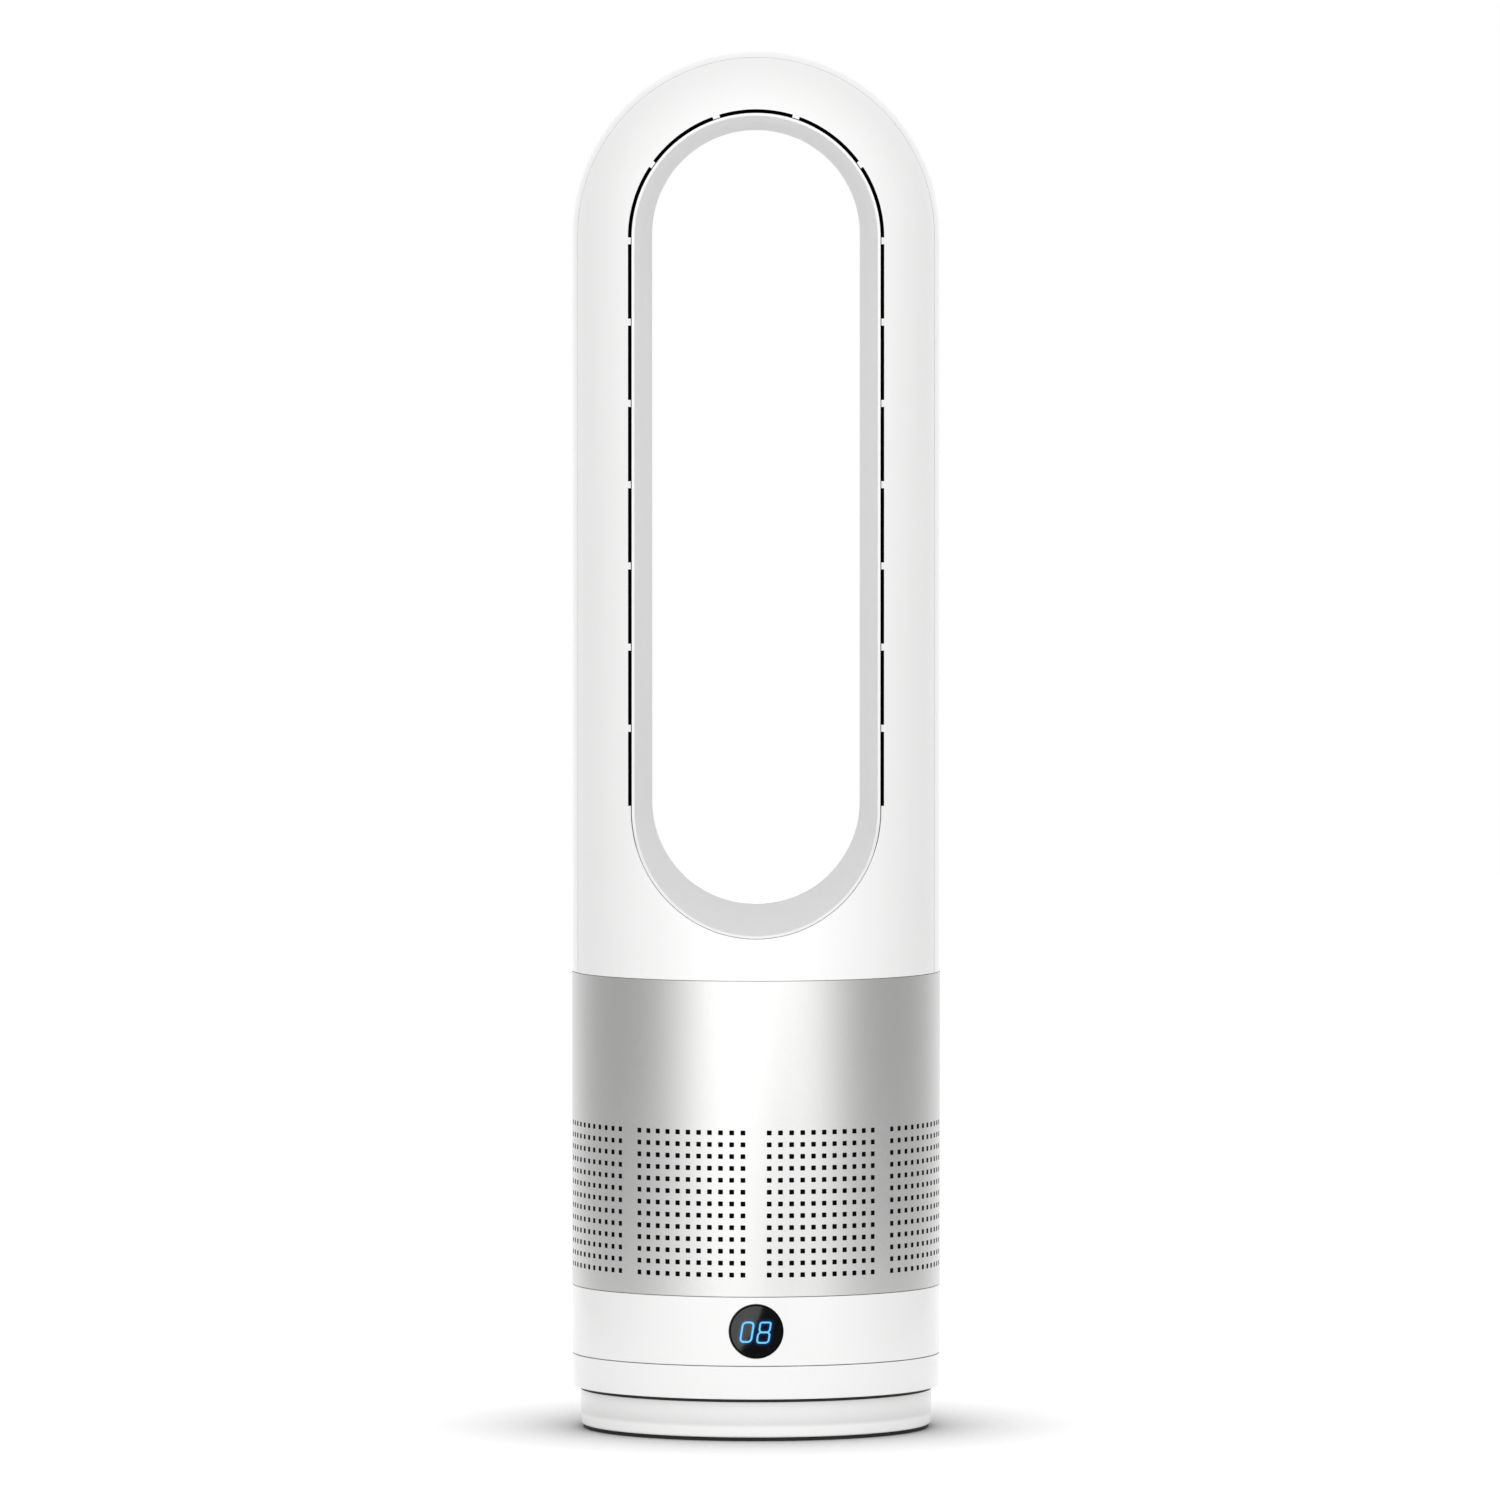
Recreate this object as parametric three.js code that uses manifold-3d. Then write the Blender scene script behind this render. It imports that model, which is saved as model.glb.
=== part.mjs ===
// Bladeless tower fan: a round base, a swinging head with a perforated silver sleeve, and a tall
// hollow air hoop with a racetrack opening. Millimetres, +Z up, front towards -Y, origin at the
// centre of the footprint.
import * as THREE from 'three';
import { mergeGeometries, mergeVertices } from 'three/addons/utils/BufferGeometryUtils.js';
import Module from 'manifold-3d';

const wasm = await Module();
wasm.setup();

// ---------------------------------------------------------------------------------------------
// Driving dimensions

const bodyRadius = 110; // skirt, control ring, sleeve and hoop share it
const fit = 0.3; // gap that every seated or neighbouring pair keeps
const wall = 2.5; // moulded shells
const overcut = 1; // cutting shapes run this far past a face
const overrun = 5; // trimmed shapes start this far outside the body

const footStand = 1.8; // rubber that shows under the drum
const footWidth = 11;
const drumHeight = 22.5;
const drumInset = 6; // the drum stands this far inside the body
const drumTaper = 0.8; // the drum is narrower at the floor
const drumEdge = 1.2; // rounded lower edge
const panThickness = 3.5;
const ballastHeight = 8;
const ballastClearance = 3.9; // round the pivot's retainer

const pivotRadius = 30; // spigot that the head turns on
const pivotWall = 6;
const pivotDepth = 9.6; // how far the spigot passes the drum's deck
const collarWall = 4;
const retainerRadius = 38;
const retainerHeight = 2.5;

const swingGap = 0.6; // shadow gap between the drum and the skirt
const slipWidth = 12;
const skirtHeight = 19.6;
const skirtTaper = 2.5; // the skirt is narrower at its lower edge
const deckRise = 6; // turntable deck above the skirt's lower edge
const deckThickness = 3;
const lipHeight = 4.2; // locating lips of stacked rings
const lipWall = 2.7;

const sectorTeeth = 66; // teeth that a whole ring would have
const pinionTeeth = 12;
const sectorPitchShare = 0.6; // of the body's radius
const pressureAngle = THREE.MathUtils.degToRad(20);
const toothBacklash = 0.36; // taken off each flank at the pitch circle
const gearHeight = 5.5;
const dedendumModules = 1.25;
const sectorAddendumModules = 0.7; // shortened, so that the pinion's roots stay clear
const sectorRim = 6;
const spareTeeth = 3; // sector teeth past each end of the swing
const swingHalfAngle = 40; // degrees each way
const pinionShaftRadius = 3;
const pinionShaftGrip = 5; // length inside the gear motor
const swingMotorRadius = 25;
const swingMotorHeight = 18;
const swingMotorCapRadius = 15;

const controlHeight = 40.8;
const displayRadius = 16;
const displayDrop = 20.2; // display centre below the control ring's top
const lensThickness = 2.4;
const reflectorHalfWidth = 10.5;
const reflectorHalfHeight = 7;
const reflectorWall = 2;
const displayBoardHalfWidth = 26;
const displayBoardHalfHeight = 9.6;
const chipHalfWidth = 5;
const chipHeight = 1.5;
const ledgeDrop = 4.4; // shelf below the control ring's top
const ledgeWidth = 6;
const airDeckThickness = 2.5;
const boardWidth = 116;
const boardDepth = 64;
const boardThickness = 1.6;
const boardPostHeight = 7.5;
const boardPostRadius = 3.5;
const boardMargin = 10; // tall components stay this far inside the board's ends
const transformerSize = 24; // square in plan
const transformerHeight = 15;
const heatSinkWidth = 26;
const heatSinkThickness = 5;
const capacitorCount = 3;
const capacitorRadius = 5.5;
const capacitorPitch = 15;
const capacitorHeight = 13; // the heat sink is as tall

const sleeveHeight = 186.8;
const sleeveWall = 1.8;
const holeGroups = 8;
const holeColumns = 3; // the real sheet has eleven in the same width
const holeRows = 4; // the real sheet has thirteen in the same height
const holePitchDegrees = 14;
const holePitchHeight = 28.08;
const holeSize = 3.6;
const holeRowsDrop = 89.8; // top row below the sleeve's top

const ductRadius = 68; // straight duct round the guide vanes
const throatRadius = 62; // duct at the impeller's inlet
const ductWall = 2.2;
const ductLedge = 2;
const shroudDrop = 15; // fan shroud's flange below the sleeve's top
const flangeThickness = 3;
const vaneHeight = 30;
const shroudHeight = 64;
const spigotHeight = 15; // part of the shroud that stands inside the hoop
const bellHeight = 12.7;
const bellFlare = 20;
const podRadius = 32.4;
const impellerHeight = 30;
const impellerRunningGap = 4;
const tipClearance = 1.5;
const noseRadius = 10;
const hubTopRadius = 31.4;
const hubCurve = [[0, 0], [0.23, 0.3], [0.72, 0.7], [1, 1]]; // parts of its widening and height
const bladeCount = 7;
const bladeRootRadii = [8, 26.4]; // inside the hub, at the bottom and at the top
const bladeWrap = 62; // degrees
const bladeBend = 1.25;
const vaneCount = 7;
const vaneWrap = -26;
const vaneBend = 0.6;
const bladeThickness = 1.8;
const shaftRadius = 3;
const motorRadius = 27;
const motorHeight = 21;
const bearingRadius = 8;
const bearingHeight = 4.7;
const nutHeight = 4.7;
const nutRadius = 6;
const tailHeight = 26;

const legHeight = 438.7; // hoop from its lower seam to the centre of the arch
const hoopFootHeight = 98.7; // hoop from its lower seam to the centre of the opening's lower arc
const slotHalfWidth = 74.7; // middle of the air slot from the centre line
const slotWidth = 1.8;
const slotLength = 44;
const slotBridge = 4.1;
const archSlots = 5;
const archBridgeDegrees = 3.2;
const slotRunDrop = 2.6; // first straight slot below the arch centre
const slotReach = 25; // the slots run this far behind the end of the nozzle's land
const partingDepth = 29; // front shell ends this far in front of the centre plane
const nozzleLip = 1.8;
const nozzleWall = 2.3;
const creaseHalfWidth = 67.5;
const throatHalfWidth = 62.15;
const rearHalfWidth = 66.2;
const landDepth = 86; // the nozzle's straight land ends here, in front of the centre plane
const creaseDepth = 12;
const throatDepth = 44; // narrowest section, behind the centre plane

const inletWidth = 21.4;
const inletHeight = 12.8;
const inletDepth = 20;
const pocketWidth = 17;
const pocketHeight = 9;
const pocketDepth = 13;
const pinRadius = 1.2;
const pinSpacing = 8.6;
const pinLength = 7;

const screwRadius = 1.6;
const screwHeadRadius = 3.5;
const screwHeadHeight = 1.5;
const screwLength = 12;
const bossRadius = 5;
const hoopBossRadius = 4.4;
const hoopWebHeight = 10;

const roundSegments = 32; // facets of every large ring, so that nested rings stay parallel
const innerSegments = 16; // fan and motor
const smallSegments = 12;
const screwSegments = 6;
const pinSegments = 4; // facets of half a turn
const slotSegments = 4; // facets of one curved slot
const curveSteps = 3; // stations along blades and rounded ducts
const domeSteps = 8;
const racetrackSteps = 12; // facets of half a turn of the opening

// ---------------------------------------------------------------------------------------------
// Levels and radii that follow from them

const drumRadius = bodyRadius - drumInset;
const drumBottom = footStand + fit;
const drumTop = drumBottom + drumHeight;
const drumDeckBottom = drumTop - deckThickness;
const drumInnerRadius = drumRadius - drumTaper - wall;
const footOuterRadius = drumRadius - drumTaper - fit;
const panTop = drumBottom + panThickness;
const panRadius = drumInnerRadius - fit;
const ballastBottom = panTop + fit;
const ballastOuterRadius = footOuterRadius - footWidth;
const ballastInnerRadius = retainerRadius + ballastClearance;
const spigotBottom = drumDeckBottom - pivotDepth;

const skirtBottom = drumTop + swingGap;
const skirtTop = skirtBottom + skirtHeight;
const turntableDeckBottom = skirtBottom + deckRise;
const turntableDeckTop = turntableDeckBottom + deckThickness;
const shellInnerRadius = bodyRadius - wall;
const lipRadius = shellInnerRadius - fit;
const slipOuterRadius = drumInnerRadius - 2 * wall;
const slipTop = turntableDeckBottom - fit;
const sectorPitchRadius = bodyRadius * sectorPitchShare;
const gearModule = 2 * sectorPitchRadius / sectorTeeth;
const pinionPitchRadius = gearModule * pinionTeeth / 2;
const dedendum = dedendumModules * gearModule;
const sectorAddendum = sectorAddendumModules * gearModule;
const pinionY = sectorPitchRadius - pinionPitchRadius;
const gearBottom = drumTop + fit;

const controlBottom = skirtTop + fit;
const controlTop = controlBottom + controlHeight;
const displayZ = controlTop - displayDrop;
const airDeckBottom = controlTop - ledgeDrop + fit;
const airDeckTop = airDeckBottom + airDeckThickness;

const sleeveBottom = controlTop + fit;
const sleeveTop = sleeveBottom + sleeveHeight;
const sleeveInnerRadius = bodyRadius - sleeveWall;
const hoopBottom = sleeveTop + fit;
const archZ = hoopBottom + legHeight;
const openingStraight = legHeight - hoopFootHeight; // straight run of the opening's sides
const lowerArcZ = archZ - openingStraight;

const flangeBottom = sleeveTop - shroudDrop;
const flangeTop = flangeBottom + flangeThickness;
const shroudBottom = flangeBottom - shroudHeight;
const vaneTop = flangeBottom - fit;
const vaneBottom = vaneTop - vaneHeight;
const ledgeTop = vaneBottom - fit;
const podInnerRadius = podRadius - wall;
const podFloorTop = vaneBottom + wall;
const impellerTop = vaneBottom - impellerRunningGap;
const impellerBottom = impellerTop - impellerHeight;
const isolatorRadius = podInnerRadius - fit;
const isolatorFloor = 1.9;
const motorBottom = podFloorTop + isolatorFloor + 2 * fit;
const motorTop = motorBottom + motorHeight;
const shaftBore = shaftRadius + fit;
const nutTop = impellerBottom - fit;

const sideSlots = Math.floor((openingStraight - slotRunDrop) / (slotLength + slotBridge));
const slotOuter = slotHalfWidth + slotWidth / 2;
const nozzleFront = slotHalfWidth - slotWidth / 2;

// ---------------------------------------------------------------------------------------------
// Solids

// A closed three.js geometry as a solid that can be cut and joined.
function solid(geometry) {
  const bare = geometry.clone();
  bare.deleteAttribute('normal');
  bare.deleteAttribute('uv');
  const merged = mergeVertices(bare);
  const corners = merged.index.array;
  const triangles = [];
  for (let i = 0; i < corners.length; i += 3) {
    const [a, b, c] = corners.subarray(i, i + 3);
    if (a !== b && b !== c && c !== a) triangles.push(a, b, c);
  }
  const mesh = new wasm.Mesh({
    numProp: 3,
    vertProperties: new Float32Array(merged.attributes.position.array),
    triVerts: new Uint32Array(triangles),
  });
  return new wasm.Manifold(mesh);
}

// The solid turned by `profile`, a list of [radius, height], about the vertical axis.
function revolve(profile, segments = roundSegments) {
  const points = profile.map(([radius, height]) => new THREE.Vector2(radius, height));
  if (THREE.ShapeUtils.isClockWise(points)) points.reverse();
  if (points[0].x > 0) points.push(points[0].clone());
  return solid(new THREE.LatheGeometry(points, segments).rotateX(Math.PI / 2));
}

// Flat-ended tube.
function ring(inner, outer, bottom, top, segments = roundSegments) {
  return revolve([[inner, bottom], [outer, bottom], [outer, top], [inner, top]], segments);
}

// Flat-ended cylinder on the vertical axis.
function disc(radius, bottom, top, segments = roundSegments) {
  return revolve([[0, bottom], [radius, bottom], [radius, top], [0, top]], segments);
}

// Upright cylinder at a place in plan.
function rod(x, y, radius, bottom, top, segments = smallSegments) {
  return disc(radius, bottom, top, segments).translate([x, y, 0]);
}

// Box between two limits on each axis.
function block(x0, x1, y0, y1, z0, z1) {
  const box = new THREE.BoxGeometry(x1 - x0, y1 - y0, z1 - z0);
  return solid(box.translate((x0 + x1) / 2, (y0 + y1) / 2, (z0 + z1) / 2));
}

// A shape drawn in plan and raised from `bottom`.
function prism(shape, bottom, height) {
  const options = { depth: height, bevelEnabled: false, curveSegments: smallSegments };
  return solid(new THREE.ExtrudeGeometry(shape, options).translate(0, 0, bottom));
}

// A shape drawn in the front view and run from `front` to `back` along Y.
function runBack(shape, front, back, curveSegments = smallSegments) {
  const options = { depth: back - front, bevelEnabled: false, curveSegments };
  const run = new THREE.ExtrudeGeometry(shape, options).rotateX(Math.PI / 2);
  return solid(run.translate(0, back, 0));
}

// Circle drawn in the front view.
function circle(x, z, radius) {
  return new THREE.Shape().absarc(x, z, radius, 0, 2 * Math.PI);
}

// A closed body from rings of points, each ring counter-clockwise as seen from the first end. The
// two halves of a ring are split along matching diagonals, so a twisted blade keeps its thickness.
function loft(rings) {
  const count = rings[0].length;
  const index = [];
  for (let station = 0; station < rings.length - 1; station += 1) {
    for (let i = 0; i < count; i += 1) {
      const a = station * count + i;
      const b = station * count + (i + 1) % count;
      if (2 * i < count) index.push(a, a + count, b, b, a + count, b + count);
      else index.push(a, a + count, b + count, a, b + count, b);
    }
  }
  const last = (rings.length - 1) * count;
  for (let i = 1; i < count - 1; i += 1) {
    index.push(0, i, i + 1, last, last + i + 1, last + i);
  }
  const geometry = new THREE.BufferGeometry().setFromPoints(rings.flat());
  geometry.setIndex(index);
  return solid(geometry);
}

// A solid with the opening's racetrack section, whose half-width changes along Y.
function racetrackLoft(stations) {
  return loft(stations.map(([y, halfWidth]) => {
    const arch = new THREE.ArcCurve(0, archZ, halfWidth, 0, Math.PI);
    const lowerArc = new THREE.ArcCurve(0, lowerArcZ, halfWidth, Math.PI, 2 * Math.PI);
    const points = [...arch.getPoints(racetrackSteps), ...lowerArc.getPoints(racetrackSteps)];
    return points.map((point) => new THREE.Vector3(point.x, y, point.y));
  }));
}

// A thin blade that climbs from `bottom` to `top` as it wraps round the axis; its root and tip
// radii are each given at the bottom and at the top.
function bladeSolid(root, tip, bottom, top, wrapDegrees, bend) {
  const wrap = THREE.MathUtils.degToRad(wrapDegrees);
  const rings = [];
  for (let step = 0; step <= curveSteps; step += 1) {
    const u = step / curveSteps;
    const angle = wrap * u ** bend;
    const turn = wrap * bend * Math.max(u, 1 / curveSteps) ** (bend - 1);
    const radial = new THREE.Vector3(Math.cos(angle), Math.sin(angle), 0);
    const sideways = new THREE.Vector3(-Math.sin(angle), Math.cos(angle), 0);
    const corner = (radius, side) => {
      const normal = sideways.clone().multiplyScalar(bottom - top);
      normal.z = radius * turn;
      normal.setLength(side * bladeThickness / 2);
      const middle = radial.clone().multiplyScalar(radius);
      middle.z = bottom + u * (top - bottom);
      return middle.add(normal);
    };
    const inner = THREE.MathUtils.lerp(root[0], root[1], u);
    const outer = THREE.MathUtils.lerp(tip[0], tip[1], u);
    rings.push([corner(inner, 1), corner(inner, -1), corner(outer, -1), corner(outer, 1)]);
  }
  return loft(rings);
}

// Union of several solids.
function joined(parts) {
  return wasm.Manifold.union(parts);
}

// `count` things made at equal steps of a full turn.
function around(count, make) {
  return Array.from({ length: count }, (_, i) => make(i * 360 / count, i));
}

// Outline of a spur gear with involute flanks; `widen` is added to each flank at the pitch circle.
function gearOutline(teeth, rootRadius, tipRadius, widen) {
  const pitchRadius = gearModule * teeth / 2;
  const baseRadius = pitchRadius * Math.cos(pressureAngle);
  const involute = (angle) => Math.tan(angle) - angle;
  const halfAngle = (radius) => {
    const flankAngle = Math.acos(Math.min(1, baseRadius / radius));
    const pitchHalf = Math.PI / (2 * teeth) + widen / pitchRadius;
    return pitchHalf + involute(pressureAngle) - involute(flankAngle);
  };
  const flank = [0, 0.5, 1].map((part) => rootRadius + part * (tipRadius - rootRadius));
  const points = around(teeth, (degrees) => {
    const middle = Math.PI / 2 + THREE.MathUtils.degToRad(degrees);
    const rising = flank.map((radius) => [radius, middle - halfAngle(radius)]);
    const falling = flank.map((radius) => [radius, middle + halfAngle(radius)]).reverse();
    return [...rising, ...falling].map(([radius, angle]) => (
      new THREE.Vector2(radius * Math.cos(angle), radius * Math.sin(angle))
    ));
  });
  return new THREE.Shape(points.flat());
}

// `count` places in plan at one radius, the first at `firstDegrees`.
function placesAround(count, radius, firstDegrees) {
  return around(count, (degrees) => {
    const angle = THREE.MathUtils.degToRad(degrees + firstDegrees);
    return [radius * Math.cos(angle), radius * Math.sin(angle)];
  });
}

// Pan-head screw with its shank upwards.
function screw(x, y, headBottom, length) {
  const headTop = headBottom + screwHeadHeight;
  return revolve([
    [0, headBottom],
    [screwHeadRadius, headBottom],
    [screwHeadRadius, headTop],
    [screwRadius, headTop],
    [screwRadius, headTop + length],
    [0, headTop + length],
  ], screwSegments).translate([x, y, 0]);
}

// Clearance hole for a screw's shank.
function screwHole(x, y, bottom, top) {
  return rod(x, y, screwRadius + fit, bottom, top, screwSegments);
}

// ---------------------------------------------------------------------------------------------
// Base

// Rubber ring that the fan stands on.
function footRing() {
  return ring(footOuterRadius - footWidth, footOuterRadius, 0, footStand);
}

// Places of the four screws that hold the pan to the drum.
function panScrewPlaces() {
  return placesAround(4, ballastOuterRadius - 2 * bossRadius - fit, 45);
}

// Floor of the base, with a recess for each screw head.
function basePan() {
  const recessTop = drumBottom + screwHeadHeight + 2 * fit;
  let pan = disc(panRadius, drumBottom, panTop);
  for (const [x, y] of panScrewPlaces()) {
    pan = pan.subtract(rod(x, y, screwHeadRadius + fit, 0, recessTop, smallSegments));
    pan = pan.subtract(screwHole(x, y, 0, panTop + wall));
  }
  return pan;
}

// Heavy ring that keeps the tall fan upright, notched round the bosses and the inlet.
function ballastPlate() {
  const top = ballastBottom + ballastHeight;
  let plate = ring(ballastInnerRadius, ballastOuterRadius, ballastBottom, top, innerSegments);
  for (const [x, y] of panScrewPlaces()) {
    plate = plate.subtract(rod(x, y, bossRadius + fit, 0, drumTop, screwSegments));
  }
  const notch = inletWidth / 2 + 2 * fit;
  return plate.subtract(block(-notch, notch, inletBack() - 2 * fit, drumRadius, 0, drumTop));
}

// Depth of the inlet's outer face, its back and its height.
function inletFace() {
  return Math.sqrt(drumRadius ** 2 - (inletWidth / 2) ** 2) - drumTaper;
}

function inletBack() {
  return inletFace() - inletDepth;
}

function inletZ() {
  return panTop + fit + inletHeight / 2;
}

// Drum shell: tapered wall, deck, collar round the pivot and four screw bosses.
function baseDrum() {
  const lowRadius = drumRadius - drumTaper;
  let drum = revolve([
    [pivotRadius + fit, spigotBottom],
    [pivotRadius + fit + collarWall, spigotBottom],
    [pivotRadius + fit + collarWall, drumDeckBottom],
    [drumInnerRadius, drumDeckBottom],
    [drumInnerRadius, drumBottom],
    [lowRadius - drumEdge, drumBottom],
    [lowRadius, drumBottom + drumEdge],
    [drumRadius, drumTop],
    [pivotRadius + fit, drumTop],
  ]);
  for (const [x, y] of panScrewPlaces()) {
    drum = drum.add(rod(x, y, bossRadius, panTop + fit, drumDeckBottom + overcut, screwSegments));
    drum = drum.subtract(screwHole(x, y, 0, drumBottom + screwLength + 2 * wall));
  }
  const half = inletWidth / 2 + fit;
  const tall = inletHeight / 2 + fit;
  const z = inletZ();
  return drum.subtract(block(-half, half, inletBack(), drumRadius + wall, z - tall, z + tall));
}

// Mains inlet: a block with a pocket for a two-pole plug, and its two pins.
function powerInlet() {
  const half = inletWidth / 2;
  const face = inletFace();
  const z = inletZ();
  let inlet = block(-half, half, inletBack(), face, z - inletHeight / 2, z + inletHeight / 2);
  const pocketFloor = face - pocketDepth;
  const mouth = new THREE.Shape();
  const side = (pocketWidth - pocketHeight) / 2;
  mouth.absarc(side, z, pocketHeight / 2, -Math.PI / 2, Math.PI / 2);
  mouth.absarc(-side, z, pocketHeight / 2, Math.PI / 2, 3 * Math.PI / 2);
  inlet = inlet.subtract(runBack(mouth, pocketFloor, face + wall, smallSegments / 2));
  for (const x of [-pinSpacing / 2, pinSpacing / 2]) {
    const pin = circle(x, z, pinRadius);
    inlet = inlet.add(runBack(pin, pocketFloor - overcut, pocketFloor + pinLength, pinSegments));
  }
  return inlet;
}

// Low-friction ring between the drum's deck and the turntable.
function slipRing() {
  return ring(slipOuterRadius - slipWidth, slipOuterRadius, drumTop + fit, slipTop, innerSegments);
}

// Fixed arc of internal teeth that the swing pinion climbs along.
function swingSector() {
  const reach = swingHalfAngle + spareTeeth * 360 / sectorTeeth;
  const from = THREE.MathUtils.degToRad(90 - reach);
  const to = THREE.MathUtils.degToRad(90 + reach);
  const rootRadius = sectorPitchRadius + dedendum;
  const tipRadius = sectorPitchRadius - sectorAddendum;
  const outer = rootRadius + sectorRim;
  const inner = tipRadius - overcut;
  const arc = new THREE.Shape();
  arc.absarc(0, 0, outer, from, to);
  arc.absarc(0, 0, inner, to, from, true);
  const spaces = gearOutline(sectorTeeth, tipRadius, rootRadius, toothBacklash);
  const blank = prism(arc, gearBottom, gearHeight);
  return blank.subtract(prism(spaces, gearBottom - overcut, gearHeight + 2 * overcut));
}

// ---------------------------------------------------------------------------------------------
// Swinging head

// Turntable: the skirt that shows, its deck and the pivot spigot.
function turntable() {
  const lowRadius = bodyRadius - skirtTaper;
  const table = revolve([
    [pivotRadius - pivotWall, spigotBottom],
    [pivotRadius, spigotBottom],
    [pivotRadius, turntableDeckBottom],
    [lowRadius - wall, turntableDeckBottom],
    [lowRadius - wall, skirtBottom],
    [lowRadius, skirtBottom],
    [bodyRadius, skirtTop],
    [lipRadius, skirtTop],
    [lipRadius, skirtTop + lipHeight],
    [lipRadius - lipWall, skirtTop + lipHeight],
    [lipRadius - lipWall - skirtTaper, turntableDeckTop],
    [pivotRadius - pivotWall, turntableDeckTop],
  ]);
  const holeBottom = turntableDeckBottom - overcut;
  const holeTop = turntableDeckTop + overcut;
  let drilled = table.subtract(rod(0, pinionY, pinionShaftRadius + fit, holeBottom, holeTop));
  for (const [x, y] of retainerScrewPlaces()) {
    drilled = drilled.subtract(screwHole(x, y, 0, spigotBottom + screwLength));
  }
  return drilled;
}

// Places of the three screws under the spigot.
function retainerScrewPlaces() {
  return placesAround(3, pivotRadius - pivotWall / 2, 30);
}

// Ring screwed under the spigot, which keeps the head from lifting off the drum.
function pivotRetainer() {
  const top = spigotBottom - fit;
  const inner = pivotRadius - pivotWall;
  let retainer = ring(inner, retainerRadius, top - retainerHeight, top, innerSegments);
  for (const [x, y] of retainerScrewPlaces()) {
    retainer = retainer.subtract(screwHole(x, y, 0, spigotBottom));
  }
  return retainer;
}

// Gear motor that stands on the turntable's deck and drives the pinion through it.
function swingMotor() {
  const bottom = turntableDeckTop + fit;
  const top = bottom + swingMotorHeight;
  const boreTop = bottom + pinionShaftGrip + fit;
  return revolve([
    [pinionShaftRadius + fit, bottom],
    [swingMotorRadius, bottom],
    [swingMotorRadius, top],
    [swingMotorCapRadius, top],
    [swingMotorCapRadius, top + wall],
    [0, top + wall],
    [0, boreTop],
    [pinionShaftRadius + fit, boreTop],
  ], innerSegments).translate([0, pinionY, 0]);
}

// Pinion with its shaft, in mesh with the sector.
function swingPinion() {
  const rootRadius = pinionPitchRadius - dedendum;
  const tipRadius = pinionPitchRadius + gearModule;
  const teeth = gearOutline(pinionTeeth, rootRadius, tipRadius, -toothBacklash / 2);
  const bottom = gearBottom + fit;
  const gear = prism(teeth, bottom, gearHeight - fit).translate([0, pinionY, 0]);
  const shaftTop = turntableDeckTop + fit + pinionShaftGrip;
  return gear.add(rod(0, pinionY, pinionShaftRadius, bottom, shaftTop));
}

// Ring with the display, a shelf for the air deck and two posts for the display board.
function controlRing() {
  const shelfTop = controlTop - ledgeDrop;
  let shell = revolve([
    [shellInnerRadius, controlBottom],
    [bodyRadius, controlBottom],
    [bodyRadius, controlTop],
    [shellInnerRadius, controlTop],
    [shellInnerRadius, shelfTop],
    [shellInnerRadius - ledgeWidth, shelfTop],
    [shellInnerRadius - ledgeWidth, shelfTop - wall],
    [shellInnerRadius, shelfTop - wall - ledgeWidth / 2],
  ]);
  shell = shell.subtract(displayPlug(displayRadius + fit));
  const postX = displayRadius + 2 * wall;
  for (const x of [-postX, postX]) {
    const post = circle(x, displayZ, wall);
    shell = shell.add(runBack(post, -shellInnerRadius, displayBoardFront() - fit, pinSegments));
  }
  return shell;
}

// Round bar through the display's place in the control ring.
function displayPlug(radius) {
  return runBack(circle(0, displayZ, radius), -bodyRadius - wall, displayBoardFront());
}

// Depth of the display board's front face.
function displayBoardFront() {
  return -shellInnerRadius + 2 * wall;
}

// Dark window, curved with the ring and flush with it.
function displayLens() {
  const skin = ring(bodyRadius - lensThickness, bodyRadius, controlBottom, controlTop);
  return skin.intersect(displayPlug(displayRadius));
}

// Light box between the board and the window.
function displayReflector() {
  const lensInner = (bodyRadius - lensThickness) * Math.cos(Math.PI / roundSegments);
  const front = fit - Math.sqrt(lensInner ** 2 - reflectorHalfWidth ** 2);
  const back = displayBoardFront() - fit;
  const slab = (inset, y0, y1) => {
    const wide = reflectorHalfWidth - inset;
    const tall = reflectorHalfHeight - inset;
    return block(-wide, wide, y0, y1, displayZ - tall, displayZ + tall);
  };
  return slab(0, front, back).subtract(slab(reflectorWall, front - overcut, back - overcut));
}

// Small circuit board behind the window, with its driver chip at the back.
function displayBoard() {
  const front = displayBoardFront();
  const back = front + boardThickness;
  const wide = displayBoardHalfWidth;
  const tall = displayBoardHalfHeight;
  const card = block(-wide, wide, front, back, displayZ - tall, displayZ + tall);
  const [low, high] = [displayZ - chipHalfWidth, displayZ + chipHalfWidth];
  return card.add(block(-chipHalfWidth, chipHalfWidth, front, back + chipHeight, low, high));
}

// Deck between the electronics and the air chamber, with posts for the main board.
function airDeck() {
  const rimTop = sleeveBottom + lipHeight;
  let deck = revolve([
    [0, airDeckBottom],
    [lipRadius, airDeckBottom],
    [lipRadius, rimTop],
    [lipRadius - lipWall, rimTop],
    [lipRadius - lipWall, airDeckTop],
    [0, airDeckTop],
  ]);
  for (const [x, y] of boardPostPlaces()) {
    const post = rod(x, y, boardPostRadius, airDeckBottom - boardPostHeight, airDeckTop, screwSegments);
    deck = deck.add(post);
  }
  return deck;
}

// Places of the four posts over the main board's corners.
function boardPostPlaces() {
  const x = boardWidth / 2 - 2 * wall;
  const y = boardDepth / 2 - 2 * wall;
  return [[-x, -y], [x, -y], [x, y], [-x, y]];
}

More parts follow.
